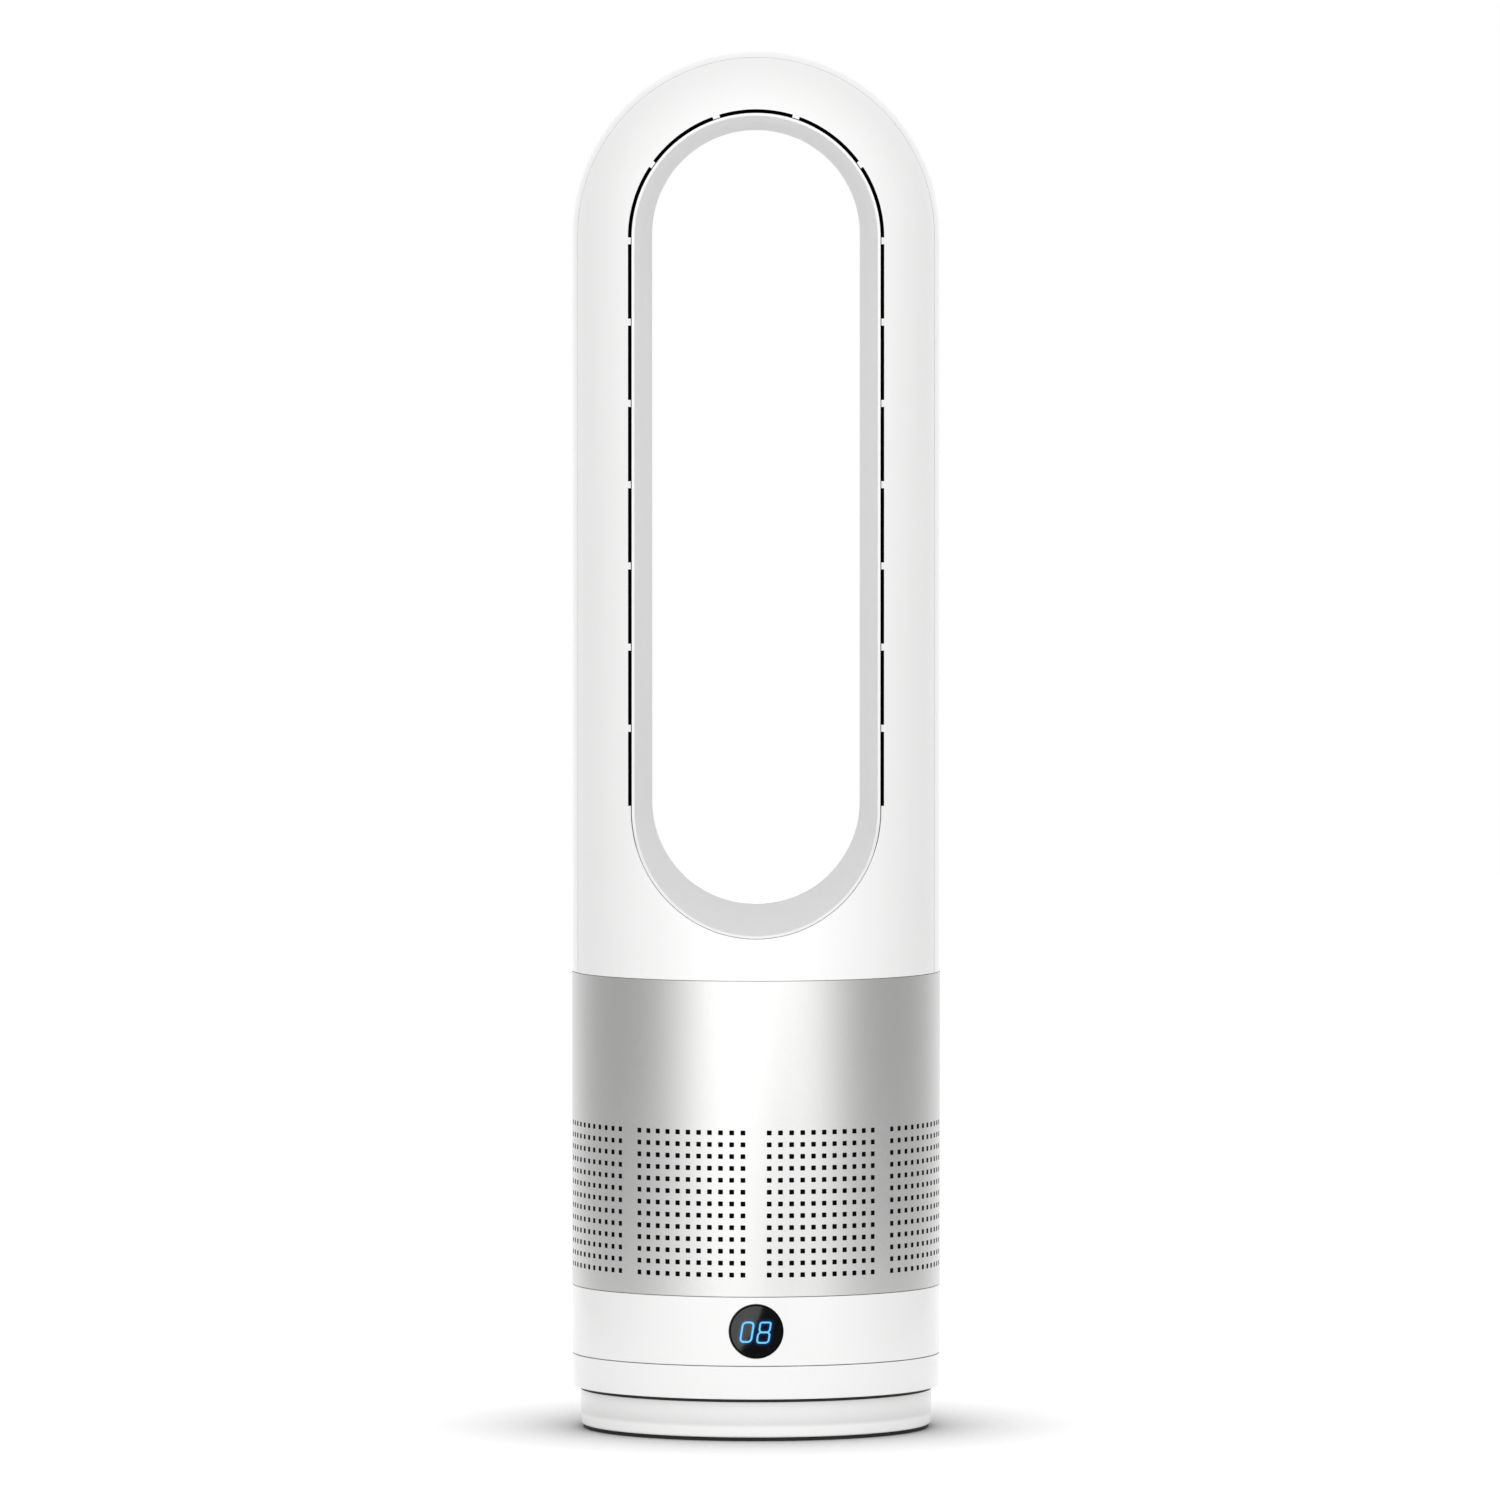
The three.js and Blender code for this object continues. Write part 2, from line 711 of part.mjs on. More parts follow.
// Circuit board with its transformer, capacitors and heat sink on the lower side.
function mainBoard() {
  const top = airDeckBottom - boardPostHeight - fit;
  const bottom = top - boardThickness;
  const x = boardWidth / 2;
  const y = boardDepth / 2;
  const hang = (x0, width, y0, depth, height) => (
    block(x0, x0 + width, y0, y0 + depth, bottom - height, bottom + fit)
  );
  let board = block(-x, x, -y, y, bottom, top);
  board = board.add(hang(
    boardMargin - x,
    transformerSize,
    -transformerSize / 2,
    transformerSize,
    transformerHeight,
  ));
  board = board.add(hang(
    x - boardMargin - heatSinkWidth,
    heatSinkWidth,
    boardMargin - y,
    heatSinkThickness,
    capacitorHeight,
  ));
  for (let i = 0; i < capacitorCount; i += 1) {
    const along = (i - (capacitorCount - 1) / 2) * capacitorPitch;
    const across = y - boardMargin - capacitorRadius;
    board = board.add(rod(along, across, capacitorRadius, bottom - capacitorHeight, bottom + fit));
  }
  return board;
}

// Perforated sleeve: eight groups of small square holes.
function sleeve() {
  const tube = ring(sleeveInnerRadius, bodyRadius, sleeveBottom, sleeveTop);
  const holes = [];
  const topRow = sleeveTop - holeRowsDrop;
  around(holeGroups, (groupDegrees) => {
    for (let column = 0; column < holeColumns; column += 1) {
      const offset = (column - (holeColumns - 1) / 2) * holePitchDegrees;
      const angle = THREE.MathUtils.degToRad(groupDegrees + 180 / holeGroups + offset);
      for (let row = 0; row < holeRows; row += 1) {
        const hole = new THREE.BoxGeometry(4 * sleeveWall, holeSize, holeSize);
        hole.translate(bodyRadius - sleeveWall / 2, 0, topRow - row * holePitchHeight);
        holes.push(hole.rotateZ(angle));
      }
    }
  });
  return tube.subtract(solid(mergeGeometries(holes)));
}

// Duct round the impeller and guide vanes, with the flange and spigot that carry the hoop.
function fanShroud() {
  const coneTop = ductRadius - ductLedge;
  const outerTop = sleeveInnerRadius - fit;
  let shroud = revolve([
    [throatRadius, shroudBottom],
    [throatRadius + ductWall, shroudBottom],
    [coneTop + ductWall, ledgeTop - ductWall],
    [ductRadius + ductWall, ledgeTop],
    [ductRadius + ductWall, flangeBottom],
    [outerTop, flangeBottom],
    [outerTop, sleeveTop],
    [lipRadius, sleeveTop],
    [lipRadius, hoopBottom + spigotHeight],
    [lipRadius - lipWall, hoopBottom + spigotHeight],
    [lipRadius - lipWall, flangeTop],
    [ductRadius, flangeTop],
    [ductRadius, ledgeTop],
    [coneTop, ledgeTop],
  ]);
  for (const [x, y] of hoopScrewPlaces()) {
    shroud = shroud.subtract(screwHole(x, y, flangeBottom - overcut, flangeTop + overcut));
  }
  return shroud;
}

// Rounded air intake under the shroud.
function bellmouth() {
  const top = shroudBottom - fit;
  const inside = [];
  const outside = [];
  for (let step = 0; step <= curveSteps; step += 1) {
    const angle = step / curveSteps * Math.PI / 2;
    const radius = throatRadius + bellFlare * (1 - Math.cos(angle));
    const height = top - bellHeight * Math.sin(angle);
    inside.push([radius, height]);
    outside.push([radius + ductWall * Math.cos(angle), height + ductWall * Math.sin(angle)]);
  }
  return revolve([...inside, ...outside.reverse()], innerSegments);
}

// Guide vanes that hold the motor pod in the middle of the duct.
function guideVanes() {
  const ringOuter = ductRadius - fit;
  const ringInner = ringOuter - ductWall;
  const rim = ring(ringInner, ringOuter, vaneBottom, vaneTop);
  const pod = revolve([
    [shaftRadius + wall, vaneBottom],
    [podRadius, vaneBottom],
    [podRadius, vaneTop],
    [podInnerRadius, vaneTop],
    [podInnerRadius, podFloorTop],
    [shaftRadius + wall, podFloorTop],
  ], innerSegments);
  const root = podRadius - wall / 2;
  const tip = ringOuter - ductWall / 2;
  const bottom = vaneBottom + wall;
  const vane = bladeSolid([root, root], [tip, tip], bottom, vaneTop - wall, vaneWrap, vaneBend);
  const vanes = around(vaneCount, (degrees) => vane.rotate([0, 0, degrees]));
  return joined([rim, pod, ...vanes]);
}

// Soft cup between the motor and its pod.
function motorIsolator() {
  const bottom = podFloorTop + fit;
  return revolve([
    [shaftRadius + wall, bottom],
    [isolatorRadius, bottom],
    [isolatorRadius, motorTop - wall],
    [motorRadius + fit, motorTop - wall],
    [motorRadius + fit, bottom + isolatorFloor],
    [shaftRadius + wall, bottom + isolatorFloor],
  ], innerSegments);
}

// Motor can with the bore that its two bearings sit in.
function motorCan() {
  return ring(bearingRadius + fit, motorRadius, motorBottom, motorTop, innerSegments);
}

// Ring that stands for a small ball bearing.
function bearing(bottom) {
  return ring(shaftBore, bearingRadius, bottom, bottom + bearingHeight, smallSegments);
}

// Shaft from the top of the motor down through the impeller and its nut.
function motorShaft() {
  return disc(shaftRadius, nutTop - nutHeight - overcut, motorTop, smallSegments);
}

// Mixed-flow impeller: a widening hub with wrapped blades trimmed to the duct.
function impeller() {
  const outside = hubCurve.map(([widened, climbed]) => [
    THREE.MathUtils.lerp(noseRadius, hubTopRadius, widened),
    THREE.MathUtils.lerp(impellerBottom, impellerTop, climbed),
  ]);
  const bore = [[shaftBore, impellerTop], [shaftBore, impellerBottom]];
  const hub = revolve([...outside, ...bore], 2 * bladeCount);
  const widening = (ductRadius - ductLedge - throatRadius) / (ledgeTop - shroudBottom);
  const low = impellerBottom + bladeThickness;
  const high = impellerTop - bladeThickness;
  const tip = [low, high].map((z) => throatRadius - tipClearance + widening * (z - shroudBottom));
  const blade = bladeSolid(bladeRootRadii, tip, low, high, bladeWrap, bladeBend);
  return joined([hub, ...around(bladeCount, (degrees) => blade.rotate([0, 0, degrees]))]);
}

// Hexagon nut under the impeller.
function impellerNut() {
  const bore = disc(shaftBore, 0, nutTop + overcut, smallSegments);
  return disc(nutRadius, nutTop - nutHeight, nutTop, screwSegments).subtract(bore);
}

// Cap that lets the air close behind the motor pod.
function tailCone() {
  const bottom = vaneTop + fit;
  const outside = [];
  const inside = [];
  for (let step = 0; step < curveSteps; step += 1) {
    const angle = step / curveSteps * Math.PI / 2;
    outside.push([podRadius * Math.cos(angle), bottom + tailHeight * Math.sin(angle)]);
    inside.push([podInnerRadius * Math.cos(angle), bottom + (tailHeight - wall) * Math.sin(angle)]);
  }
  outside.push([0, bottom + tailHeight]);
  inside.push([0, bottom + tailHeight - wall]);
  return revolve([...inside.reverse(), ...outside], innerSegments);
}

// ---------------------------------------------------------------------------------------------
// Air hoop

// Upright cylinder with a domed top: the outer form of the hoop.
function capsule(radius, bottom) {
  const profile = [[0, bottom], [radius, bottom]];
  for (let step = 0; step < domeSteps; step += 1) {
    const angle = step / domeSteps * Math.PI / 2;
    profile.push([radius * Math.cos(angle), archZ + radius * Math.sin(angle)]);
  }
  profile.push([0, archZ + radius]);
  return revolve(profile);
}

// Half-width of the nozzle along Y: land, taper, crease, rounded throat and flare. The walls are
// added for the outside; the inside takes none.
function nozzleStations(lip, thickness, roomAtEnds) {
  const front = nozzleFront - nozzleLip + lip;
  const crease = creaseHalfWidth + thickness;
  const rear = rearHalfWidth + thickness;
  const stations = [
    [-bodyRadius - roomAtEnds, front],
    [-landDepth, front],
    [-creaseDepth, crease],
  ];
  for (let step = 1; step <= curveSteps; step += 1) {
    const angle = step / curveSteps * Math.PI / 2;
    const y = -creaseDepth + (creaseDepth + throatDepth) * step / curveSteps;
    stations.push([y, crease - (creaseHalfWidth - throatHalfWidth) * Math.sin(angle)]);
  }
  stations.push([Math.sqrt(bodyRadius ** 2 - rearHalfWidth ** 2), rear]);
  stations.push([bodyRadius + roomAtEnds, rear]);
  return stations;
}

// Tapered racetrack wall of the opening, trimmed to the hoop's outer form.
function nozzleRing() {
  const outer = racetrackLoft(nozzleStations(nozzleLip, nozzleWall, overrun));
  const inner = racetrackLoft(nozzleStations(0, 0, 2 * overrun));
  return outer.subtract(inner).intersect(capsule(bodyRadius, hoopBottom));
}

// Room that the shells leave for the nozzle ring.
function nozzleRoom() {
  return racetrackLoft(nozzleStations(nozzleLip + fit, nozzleWall + fit, 2 * overrun));
}

// The nineteen air slots, as tools that notch the front shell's inner edge.
function slotTools() {
  const inner = nozzleFront - nozzleLip;
  const front = -bodyRadius - overrun;
  const back = -landDepth + slotReach;
  const tools = [];
  for (let i = 0; i < sideSlots; i += 1) {
    const top = archZ - slotRunDrop - i * (slotLength + slotBridge);
    tools.push(block(inner, slotOuter, front, back, top - slotLength, top));
    tools.push(block(-slotOuter, -inner, front, back, top - slotLength, top));
  }
  const pitch = (180 + archBridgeDegrees) / archSlots;
  for (let i = 0; i < archSlots; i += 1) {
    const from = THREE.MathUtils.degToRad(i * pitch);
    const to = THREE.MathUtils.degToRad((i + 1) * pitch - archBridgeDegrees);
    const band = new THREE.Shape();
    band.absarc(0, archZ, slotOuter, from, to);
    band.absarc(0, archZ, inner, to, from, true);
    tools.push(runBack(band, front, back, slotSegments));
  }
  return joined(tools);
}

// Places of the four screws that hold the hoop to the shroud's flange, two for each shell.
function hoopScrewPlaces() {
  return placesAround(4, shellInnerRadius - 2 * bossRadius, 45);
}

// Screw boss of a hoop shell, webbed to the wall above the shroud's spigot.
function hoopBoss(x, y) {
  const webBottom = hoopBottom + spigotHeight + 2 * fit;
  const webTop = webBottom + hoopWebHeight;
  const reach = shellInnerRadius + wall / 2;
  const web = new THREE.BoxGeometry(2 * bossRadius, 2 * wall, hoopWebHeight);
  web.translate(reach - bossRadius, 0, webBottom + hoopWebHeight / 2);
  web.rotateZ(Math.atan2(y, x));
  const post = rod(x, y, hoopBossRadius, flangeTop + fit, webTop, screwSegments);
  const boss = post.add(solid(web));
  return boss.subtract(screwHole(x, y, 0, flangeBottom + screwLength + 2 * wall));
}

// Front or rear half of the hoop's skin, with its two bosses; the front one has the air slots.
function hoopShell(isFront) {
  const parting = isFront ? -partingDepth - fit / 2 : -partingDepth + fit / 2;
  const reach = 2 * bodyRadius;
  const [near, far] = isFront ? [-reach, parting] : [parting, reach];
  const outer = capsule(bodyRadius, hoopBottom);
  const hollow = capsule(shellInnerRadius, hoopBottom - wall);
  let shell = outer.subtract(hollow);
  shell = shell.intersect(block(-reach, reach, near, far, 0, archZ + reach));
  shell = shell.subtract(nozzleRoom());
  for (const [x, y] of hoopScrewPlaces().filter((place) => (place[1] < 0) === isFront)) {
    shell = shell.add(hoopBoss(x, y));
  }
  return isFront ? shell.subtract(slotTools()) : shell;
}

// ---------------------------------------------------------------------------------------------
// Assembly

const whitePlastic = { color: 0xf2f2f0, roughness: 0.32, metalness: 0 };
const greyPlastic = { color: 0x8d9093, roughness: 0.55, metalness: 0 };
const blackPlastic = { color: 0x1b1c1e, roughness: 0.5, metalness: 0 };
const silverMetal = { color: 0xb9babb, roughness: 0.35, metalness: 0.85 };
const steel = { color: 0x9a9da0, roughness: 0.4, metalness: 0.9 };
const rubber = { color: 0x141414, roughness: 0.85, metalness: 0 };
const blackGlass = { color: 0x0b0c0e, roughness: 0.08, metalness: 0 };
const circuit = { color: 0x1f5a38, roughness: 0.6, metalness: 0 };
const acetal = { color: 0xe6e2d6, roughness: 0.45, metalness: 0 };

const fan = new THREE.Group();

// Adds one named piece with its own material.
function piece(name, body, finish) {
  const mesh = body.getMesh();
  const geometry = new THREE.BufferGeometry();
  geometry.setAttribute('position', new THREE.BufferAttribute(mesh.vertProperties, 3));
  geometry.setIndex(new THREE.BufferAttribute(mesh.triVerts, 1));
  geometry.computeVertexNormals();
  const part = new THREE.Mesh(geometry, new THREE.MeshStandardMaterial(finish));
  part.name = name;
  fan.add(part);
}

piece('foot_ring', footRing(), rubber);
piece('base_pan', basePan(), blackPlastic);
piece('ballast_plate', ballastPlate(), steel);
piece('base_drum', baseDrum(), whitePlastic);
piece('power_inlet', powerInlet(), blackPlastic);
piece('slip_ring', slipRing(), acetal);
piece('swing_sector', swingSector(), acetal);
panScrewPlaces().forEach(([x, y], i) => {
  piece(`pan_screw_${i + 1}`, screw(x, y, drumBottom + fit, screwLength), steel);
});

piece('turntable', turntable(), whitePlastic);
piece('pivot_retainer', pivotRetainer(), steel);
retainerScrewPlaces().forEach(([x, y], i) => {
  const headBottom = spigotBottom - 2 * fit - retainerHeight - screwHeadHeight;
  piece(`retainer_screw_${i + 1}`, screw(x, y, headBottom, screwLength - 2 * wall), steel);
});
piece('swing_motor', swingMotor(), steel);
piece('swing_pinion', swingPinion(), acetal);
piece('control_ring', controlRing(), whitePlastic);
piece('display_lens', displayLens(), blackGlass);
piece('display_reflector', displayReflector(), acetal);
piece('display_board', displayBoard(), circuit);
piece('air_deck', airDeck(), greyPlastic);
piece('main_board', mainBoard(), circuit);
piece('sleeve', sleeve(), silverMetal);
piece('bellmouth', bellmouth(), blackPlastic);
piece('fan_shroud', fanShroud(), greyPlastic);
piece('guide_vanes', guideVanes(), blackPlastic);
piece('motor_isolator', motorIsolator(), rubber);
piece('motor_can', motorCan(), steel);
piece('lower_bearing', bearing(motorBottom), steel);
piece('upper_bearing', bearing(motorTop - bearingHeight), steel);
piece('motor_shaft', motorShaft(), steel);
piece('impeller', impeller(), blackPlastic);
piece('impeller_nut', impellerNut(), steel);
piece('tail_cone', tailCone(), blackPlastic);
piece('hoop_front_shell', hoopShell(true), whitePlastic);
piece('hoop_rear_shell', hoopShell(false), whitePlastic);
piece('nozzle_ring', nozzleRing(), whitePlastic);
hoopScrewPlaces().forEach(([x, y], i) => {
  const headBottom = flangeBottom - fit - screwHeadHeight;
  piece(`hoop_screw_${i + 1}`, screw(x, y, headBottom, screwLength), steel);
});

export default fan;
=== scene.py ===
# Bladeless tower fan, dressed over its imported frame. Metres, +Z up, the front towards -Y.
import math

import bmesh
import bpy
from mathutils import Matrix, Vector


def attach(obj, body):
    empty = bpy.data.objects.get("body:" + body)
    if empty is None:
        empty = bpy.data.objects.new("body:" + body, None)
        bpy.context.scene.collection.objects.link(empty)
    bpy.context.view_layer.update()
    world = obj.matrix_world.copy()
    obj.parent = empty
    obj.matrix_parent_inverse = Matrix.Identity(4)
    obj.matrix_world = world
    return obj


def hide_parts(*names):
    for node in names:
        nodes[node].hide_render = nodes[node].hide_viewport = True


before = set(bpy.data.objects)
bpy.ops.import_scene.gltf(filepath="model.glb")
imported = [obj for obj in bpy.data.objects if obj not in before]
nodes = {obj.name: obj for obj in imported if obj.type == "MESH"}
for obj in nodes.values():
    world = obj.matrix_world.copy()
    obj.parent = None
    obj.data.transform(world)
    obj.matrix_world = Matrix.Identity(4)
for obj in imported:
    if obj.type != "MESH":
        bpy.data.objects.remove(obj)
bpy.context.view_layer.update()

# ---------------------------------------------------------------------------------------------
# Foot ring: a black rubber band, moulded with soft edges and pressed on under the drum, so that
# the fan stands on it. From the front it is the thin dark line on the floor.

foot_inner = 0.0919
foot_outer = 0.1029
foot_height = 0.0018
moulded_edge = 0.0003
crease_angle = math.radians(36)


def rounded(mesh, parts, radius, segments, affect="VERTICES"):
    """Rounds some corners of a flat shape, or edges of a body."""
    bmesh.ops.bevel(
        mesh,
        geom=parts,
        offset=radius,
        segments=segments,
        profile=0.5,
        affect=affect,
        material=-1,
    )


def turned(outline, rounding, steps=192):
    """A body turned about the fan's axis, from the (radius, height) corners of its section."""
    mesh = bmesh.new()
    corners = [mesh.verts.new((radius, 0, height)) for radius, height in outline]
    mesh.faces.new(corners)
    rounded(mesh, corners, rounding, 3)
    bmesh.ops.delete(mesh, geom=mesh.faces[:], context="FACES_ONLY")
    bmesh.ops.spin(
        mesh,
        geom=mesh.verts[:] + mesh.edges[:],
        cent=(0, 0, 0),
        axis=(0, 0, 1),
        dvec=(0, 0, 0),
        angle=2 * math.pi,
        steps=steps,
        use_merge=True,
    )
    return closed(mesh)


def closed(mesh):
    """Merges the seams of a finished skin and turns its faces outwards."""
    bmesh.ops.remove_doubles(mesh, verts=mesh.verts[:], dist=1e-6)
    bmesh.ops.recalc_face_normals(mesh, faces=mesh.faces[:])
    return mesh


def made(name, mesh, *finishes):
    """The bmesh as an object with smooth faces, creased where they meet at a corner."""
    data = bpy.data.meshes.new(name)
    mesh.to_mesh(data)
    mesh.free()
    data.shade_smooth()
    data.set_sharp_from_angle(angle=crease_angle)
    piece = bpy.data.objects.new(name, data)
    bpy.context.scene.collection.objects.link(piece)
    for finish in finishes:
        data.materials.append(finish.material)
    return piece


def fitted(piece, body, slot, *stood_for):
    """Puts a piece on its body and hides the solids it stands for. The slot is not used."""
    if not piece.data.has_custom_normals:
        shading = piece.modifiers.new("even shading", "WEIGHTED_NORMAL")
        shading.keep_sharp = True
    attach(piece, body)
    if stood_for:
        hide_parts(*stood_for)
    return piece


class Value:
    """A number or vector on its way through a finish's nodes. Arithmetic adds Math nodes."""

    def __init__(self, finish, socket):
        self.finish = finish
        self.socket = socket

    def maths(self, operation, *terms):
        return self.finish.node("Math", {"operation": operation}, dict(enumerate(terms)))

    def __add__(self, other):
        return self.maths("ADD", self, other)

    __radd__ = __add__

    def __sub__(self, other):
        return self.maths("SUBTRACT", self, other)

    def __rsub__(self, other):
        return self.maths("SUBTRACT", other, self)

    def __mul__(self, other):
        return self.maths("MULTIPLY", self, other)

    __rmul__ = __mul__

    def __truediv__(self, other):
        return self.maths("DIVIDE", self, other)

    def __pow__(self, other):
        return self.maths("POWER", self, other)

    def __abs__(self):
        return self.maths("ABSOLUTE", self)

    def at_least(self, other):
        return self.maths("MAXIMUM", self, other)

    def at_most(self, other):
        return self.maths("MINIMUM", self, other)


class Finish:
    """One material and its node tree, built round a Principled shader."""

    def __init__(self, name, **constants):
        self.material = bpy.data.materials.new(name)
        self.material.use_nodes = True
        self.tree = self.material.node_tree
        self.shader = self.tree.nodes["Principled BSDF"]
        self.place = self.node("TexCoord", output="Object")
        for socket, value in constants.items():
            self.set(socket.replace("_", " "), value)

    def node(self, kind, settings=None, sockets=None, output=0):
        """Adds a node: its settings first, then the values or links of its sockets."""
        node = self.tree.nodes.new("ShaderNode" + kind)
        for name, value in (settings or {}).items():
            setattr(node, name, value)
        for name, value in (sockets or {}).items():
            if isinstance(value, Value):
                self.tree.links.new(value.socket, node.inputs[name])
            else:
                node.inputs[name].default_value = value
        return Value(self, node.outputs[output])

    def set(self, socket, value):
        """Sets or links one socket of the shader."""
        if isinstance(value, Value):
            self.tree.links.new(value.socket, self.shader.inputs[socket])
        else:
            self.shader.inputs[socket].default_value = value

    def split(self, vector):
        """The three parts of a vector."""
        parts = self.node("SeparateXYZ", {}, {0: vector}).socket.node
        return [Value(self, parts.outputs[name]) for name in "XYZ"]

    def noise(self, scale, detail=2.0, roughness=0.5):
        """Noise between 0 and 1, with about `scale` patches to the metre."""
        sockets = {
            "Vector": self.place,
            "Scale": scale,
            "Detail": detail,
            "Roughness": roughness,
        }
        return self.node("TexNoise", {}, sockets)

    def between(self, first, second, share):
        """Two colours mixed by a share. Each is three numbers or the colour of a node."""
        ends = [end if isinstance(end, Value) else end + (1,) for end in (first, second)]
        sockets = {0: share, 6: ends[0], 7: ends[1]}
        return self.node("Mix", {"data_type": "RGBA"}, sockets, output=2)

    def relief(self, height, depth):
        """Bumps of the given depth in metres, for the shader's normal."""
        sockets = {"Height": height, "Distance": depth, "Strength": 1.0}
        self.set("Normal", self.node("Bump", {}, sockets))


rubber = Finish("black_rubber", Specular_IOR_Level=0.35)
rubber_dust = rubber.noise(90, 4)
rubber.set("Base Color", rubber.between((0.010, 0.010, 0.010), (0.022, 0.022, 0.021), rubber_dust))
rubber.set("Roughness", 0.62 + 0.2 * rubber.noise(400, 3))
rubber.relief(rubber.noise(2600, 2), 0.00004)

foot_corners = [
    (foot_inner, 0),
    (foot_outer, 0),
    (foot_outer, foot_height),
    (foot_inner, foot_height),
]
foot = made("rubber_foot", turned(foot_corners, moulded_edge), rubber)
fitted(foot, "base", "rubber", "foot_ring")

# ---------------------------------------------------------------------------------------------
# Base floor and its weight: a black moulded pan that closes the drum from below, four pan-head
# screws of zinc-plated steel in its recesses, and the painted iron ring that keeps the fan up.


def dressed(finish, *names):
    """Gives one finish to solids that keep their own shape."""
    for name in names:
        nodes[name].data.materials.clear()
        nodes[name].data.materials.append(finish.material)


black_moulding = Finish("black_moulding", Specular_IOR_Level=0.4)
moulding_flow = black_moulding.noise(35, 3)
black_moulding.set(
    "Base Color",
    black_moulding.between((0.016, 0.016, 0.018), (0.027, 0.027, 0.029), moulding_flow),
)
black_moulding.set("Roughness", 0.46 + 0.16 * black_moulding.noise(220, 3))
black_moulding.relief(black_moulding.noise(3200, 2, 0.6), 0.00003)

steel = Finish("zinc_plated_steel", Metallic=1.0)
zinc_bloom = steel.noise(160, 4)
steel.set("Base Color", steel.between((0.50, 0.50, 0.50), (0.66, 0.66, 0.67), zinc_bloom))
steel.set("Roughness", 0.26 + 0.22 * steel.noise(500, 4))
steel.relief(steel.noise(1800, 3), 0.00001)

ballast_iron = Finish("painted_cast_iron", Metallic=0.2)
casting = ballast_iron.noise(260, 5, 0.65)
ballast_iron.set(
    "Base Color",
    ballast_iron.between((0.06, 0.06, 0.065), (0.13, 0.13, 0.135), casting),
)
ballast_iron.set("Roughness", 0.5 + 0.3 * casting)
ballast_iron.relief(casting, 0.0003)

dressed(black_moulding, "base_pan")
dressed(steel, "pan_screw_1", "pan_screw_2", "pan_screw_3", "pan_screw_4")
dressed(ballast_iron, "ballast_plate")

# ---------------------------------------------------------------------------------------------
# Base drum: one white ABS moulding with a slightly tapered wall, a deck on top and the collar
# that the head turns in. A shallow groove runs round its top, under the skirt, and its faces are
# painted black there: painted shade for the dark gap under the skirt. Its back is cut out for the
# power inlet.


def finished(piece):
    """Makes the result of a piece's modifiers its own mesh."""
    bpy.context.view_layer.update()
    seen = piece.evaluated_get(bpy.context.evaluated_depsgraph_get())
    old = piece.data
    piece.data = bpy.data.meshes.new_from_object(seen)
    piece.modifiers.clear()
    bpy.data.meshes.remove(old)
    piece.data.shade_smooth()
    piece.data.set_sharp_from_angle(angle=crease_angle)


def cut(piece, tool, operation="DIFFERENCE"):
    """Cuts a piece with a closed tool, or joins the two, and throws the tool away."""
    shaping = piece.modifiers.new("cut", "BOOLEAN")
    shaping.operation = operation
    shaping.solver = "EXACT"
    shaping.object = tool
    finished(piece)
    bpy.data.objects.remove(tool)


def eased(piece, width, segments=2):
    """Rounds a piece's sharp edges."""
    rounding = piece.modifiers.new("eased edges", "BEVEL")
    rounding.width = width
    rounding.segments = segments
    rounding.limit_method = "ANGLE"
    rounding.angle_limit = math.radians(50)
    finished(piece)


def box_tool(low, high):
    """A closed block between two corners."""
    mesh = bmesh.new()
    bmesh.ops.create_cube(mesh, size=1)
    low, high = Vector(low), Vector(high)
    bmesh.ops.scale(mesh, vec=high - low, verts=mesh.verts[:])
    bmesh.ops.translate(mesh, vec=(low + high) / 2, verts=mesh.verts[:])
    return made("tool", mesh)


def rod_tool(start, end, radius, segments=32):
    """A closed round bar from one point to another."""
    start, end = Vector(start), Vector(end)
    run = end - start
    turning = run.to_track_quat("Z", "Y").to_matrix().to_4x4()
    mesh = bmesh.new()
    bmesh.ops.create_cone(
        mesh,
        cap_ends=True,
        segments=segments,
        radius1=radius,
        radius2=radius,
        depth=run.length,
        matrix=Matrix.Translation((start + end) / 2) @ turning,
    )
    return made("tool", mesh)


def shaded_by_curve(piece, curve):
    """Shades a piece's round faces by the true curve at each corner, not by their facets."""
    on_curve = 0.985
    data = piece.data
    directions = []
    for polygon in data.polygons:
        facing = polygon.normal.dot(curve(polygon.center))
        for index in polygon.loop_indices:
            away = curve(data.vertices[data.loops[index].vertex_index].co)
            if facing > on_curve:
                directions.append(away)
            elif facing < -on_curve:
                directions.append(-away)
            else:
                directions.append(polygon.normal.copy())
    data.normals_split_custom_set(directions)


def round_the_axis(point):
    """Direction straight out from the fan's axis."""
    return Vector((point.x, point.y, 0)).normalized()


drum_low_radius = 0.1044
drum_radius = 0.1050
drum_inner_radius = 0.1007
drum_bottom = 0.0021
drum_top = 0.0246
drum_edge = 0.0012
shadow_band_bottom = 0.0233
shadow_band_depth = 0.0010
deck_bottom = 0.0216
collar_bottom = 0.0120
collar_inner = 0.0303
collar_outer = 0.0343
boss_reach = 0.0812
boss_radius = 0.0050
boss_bottom = 0.0059
pilot_radius = 0.0019
pilot_top = 0.0191
tool_overlap = 0.0010
inlet_room = ((-0.0110, 0.0826, 0.0056), (0.0110, 0.1100, 0.0190))
painted_shade_reach = 0.020
shade_top = 0.017
shade_fade = 0.009

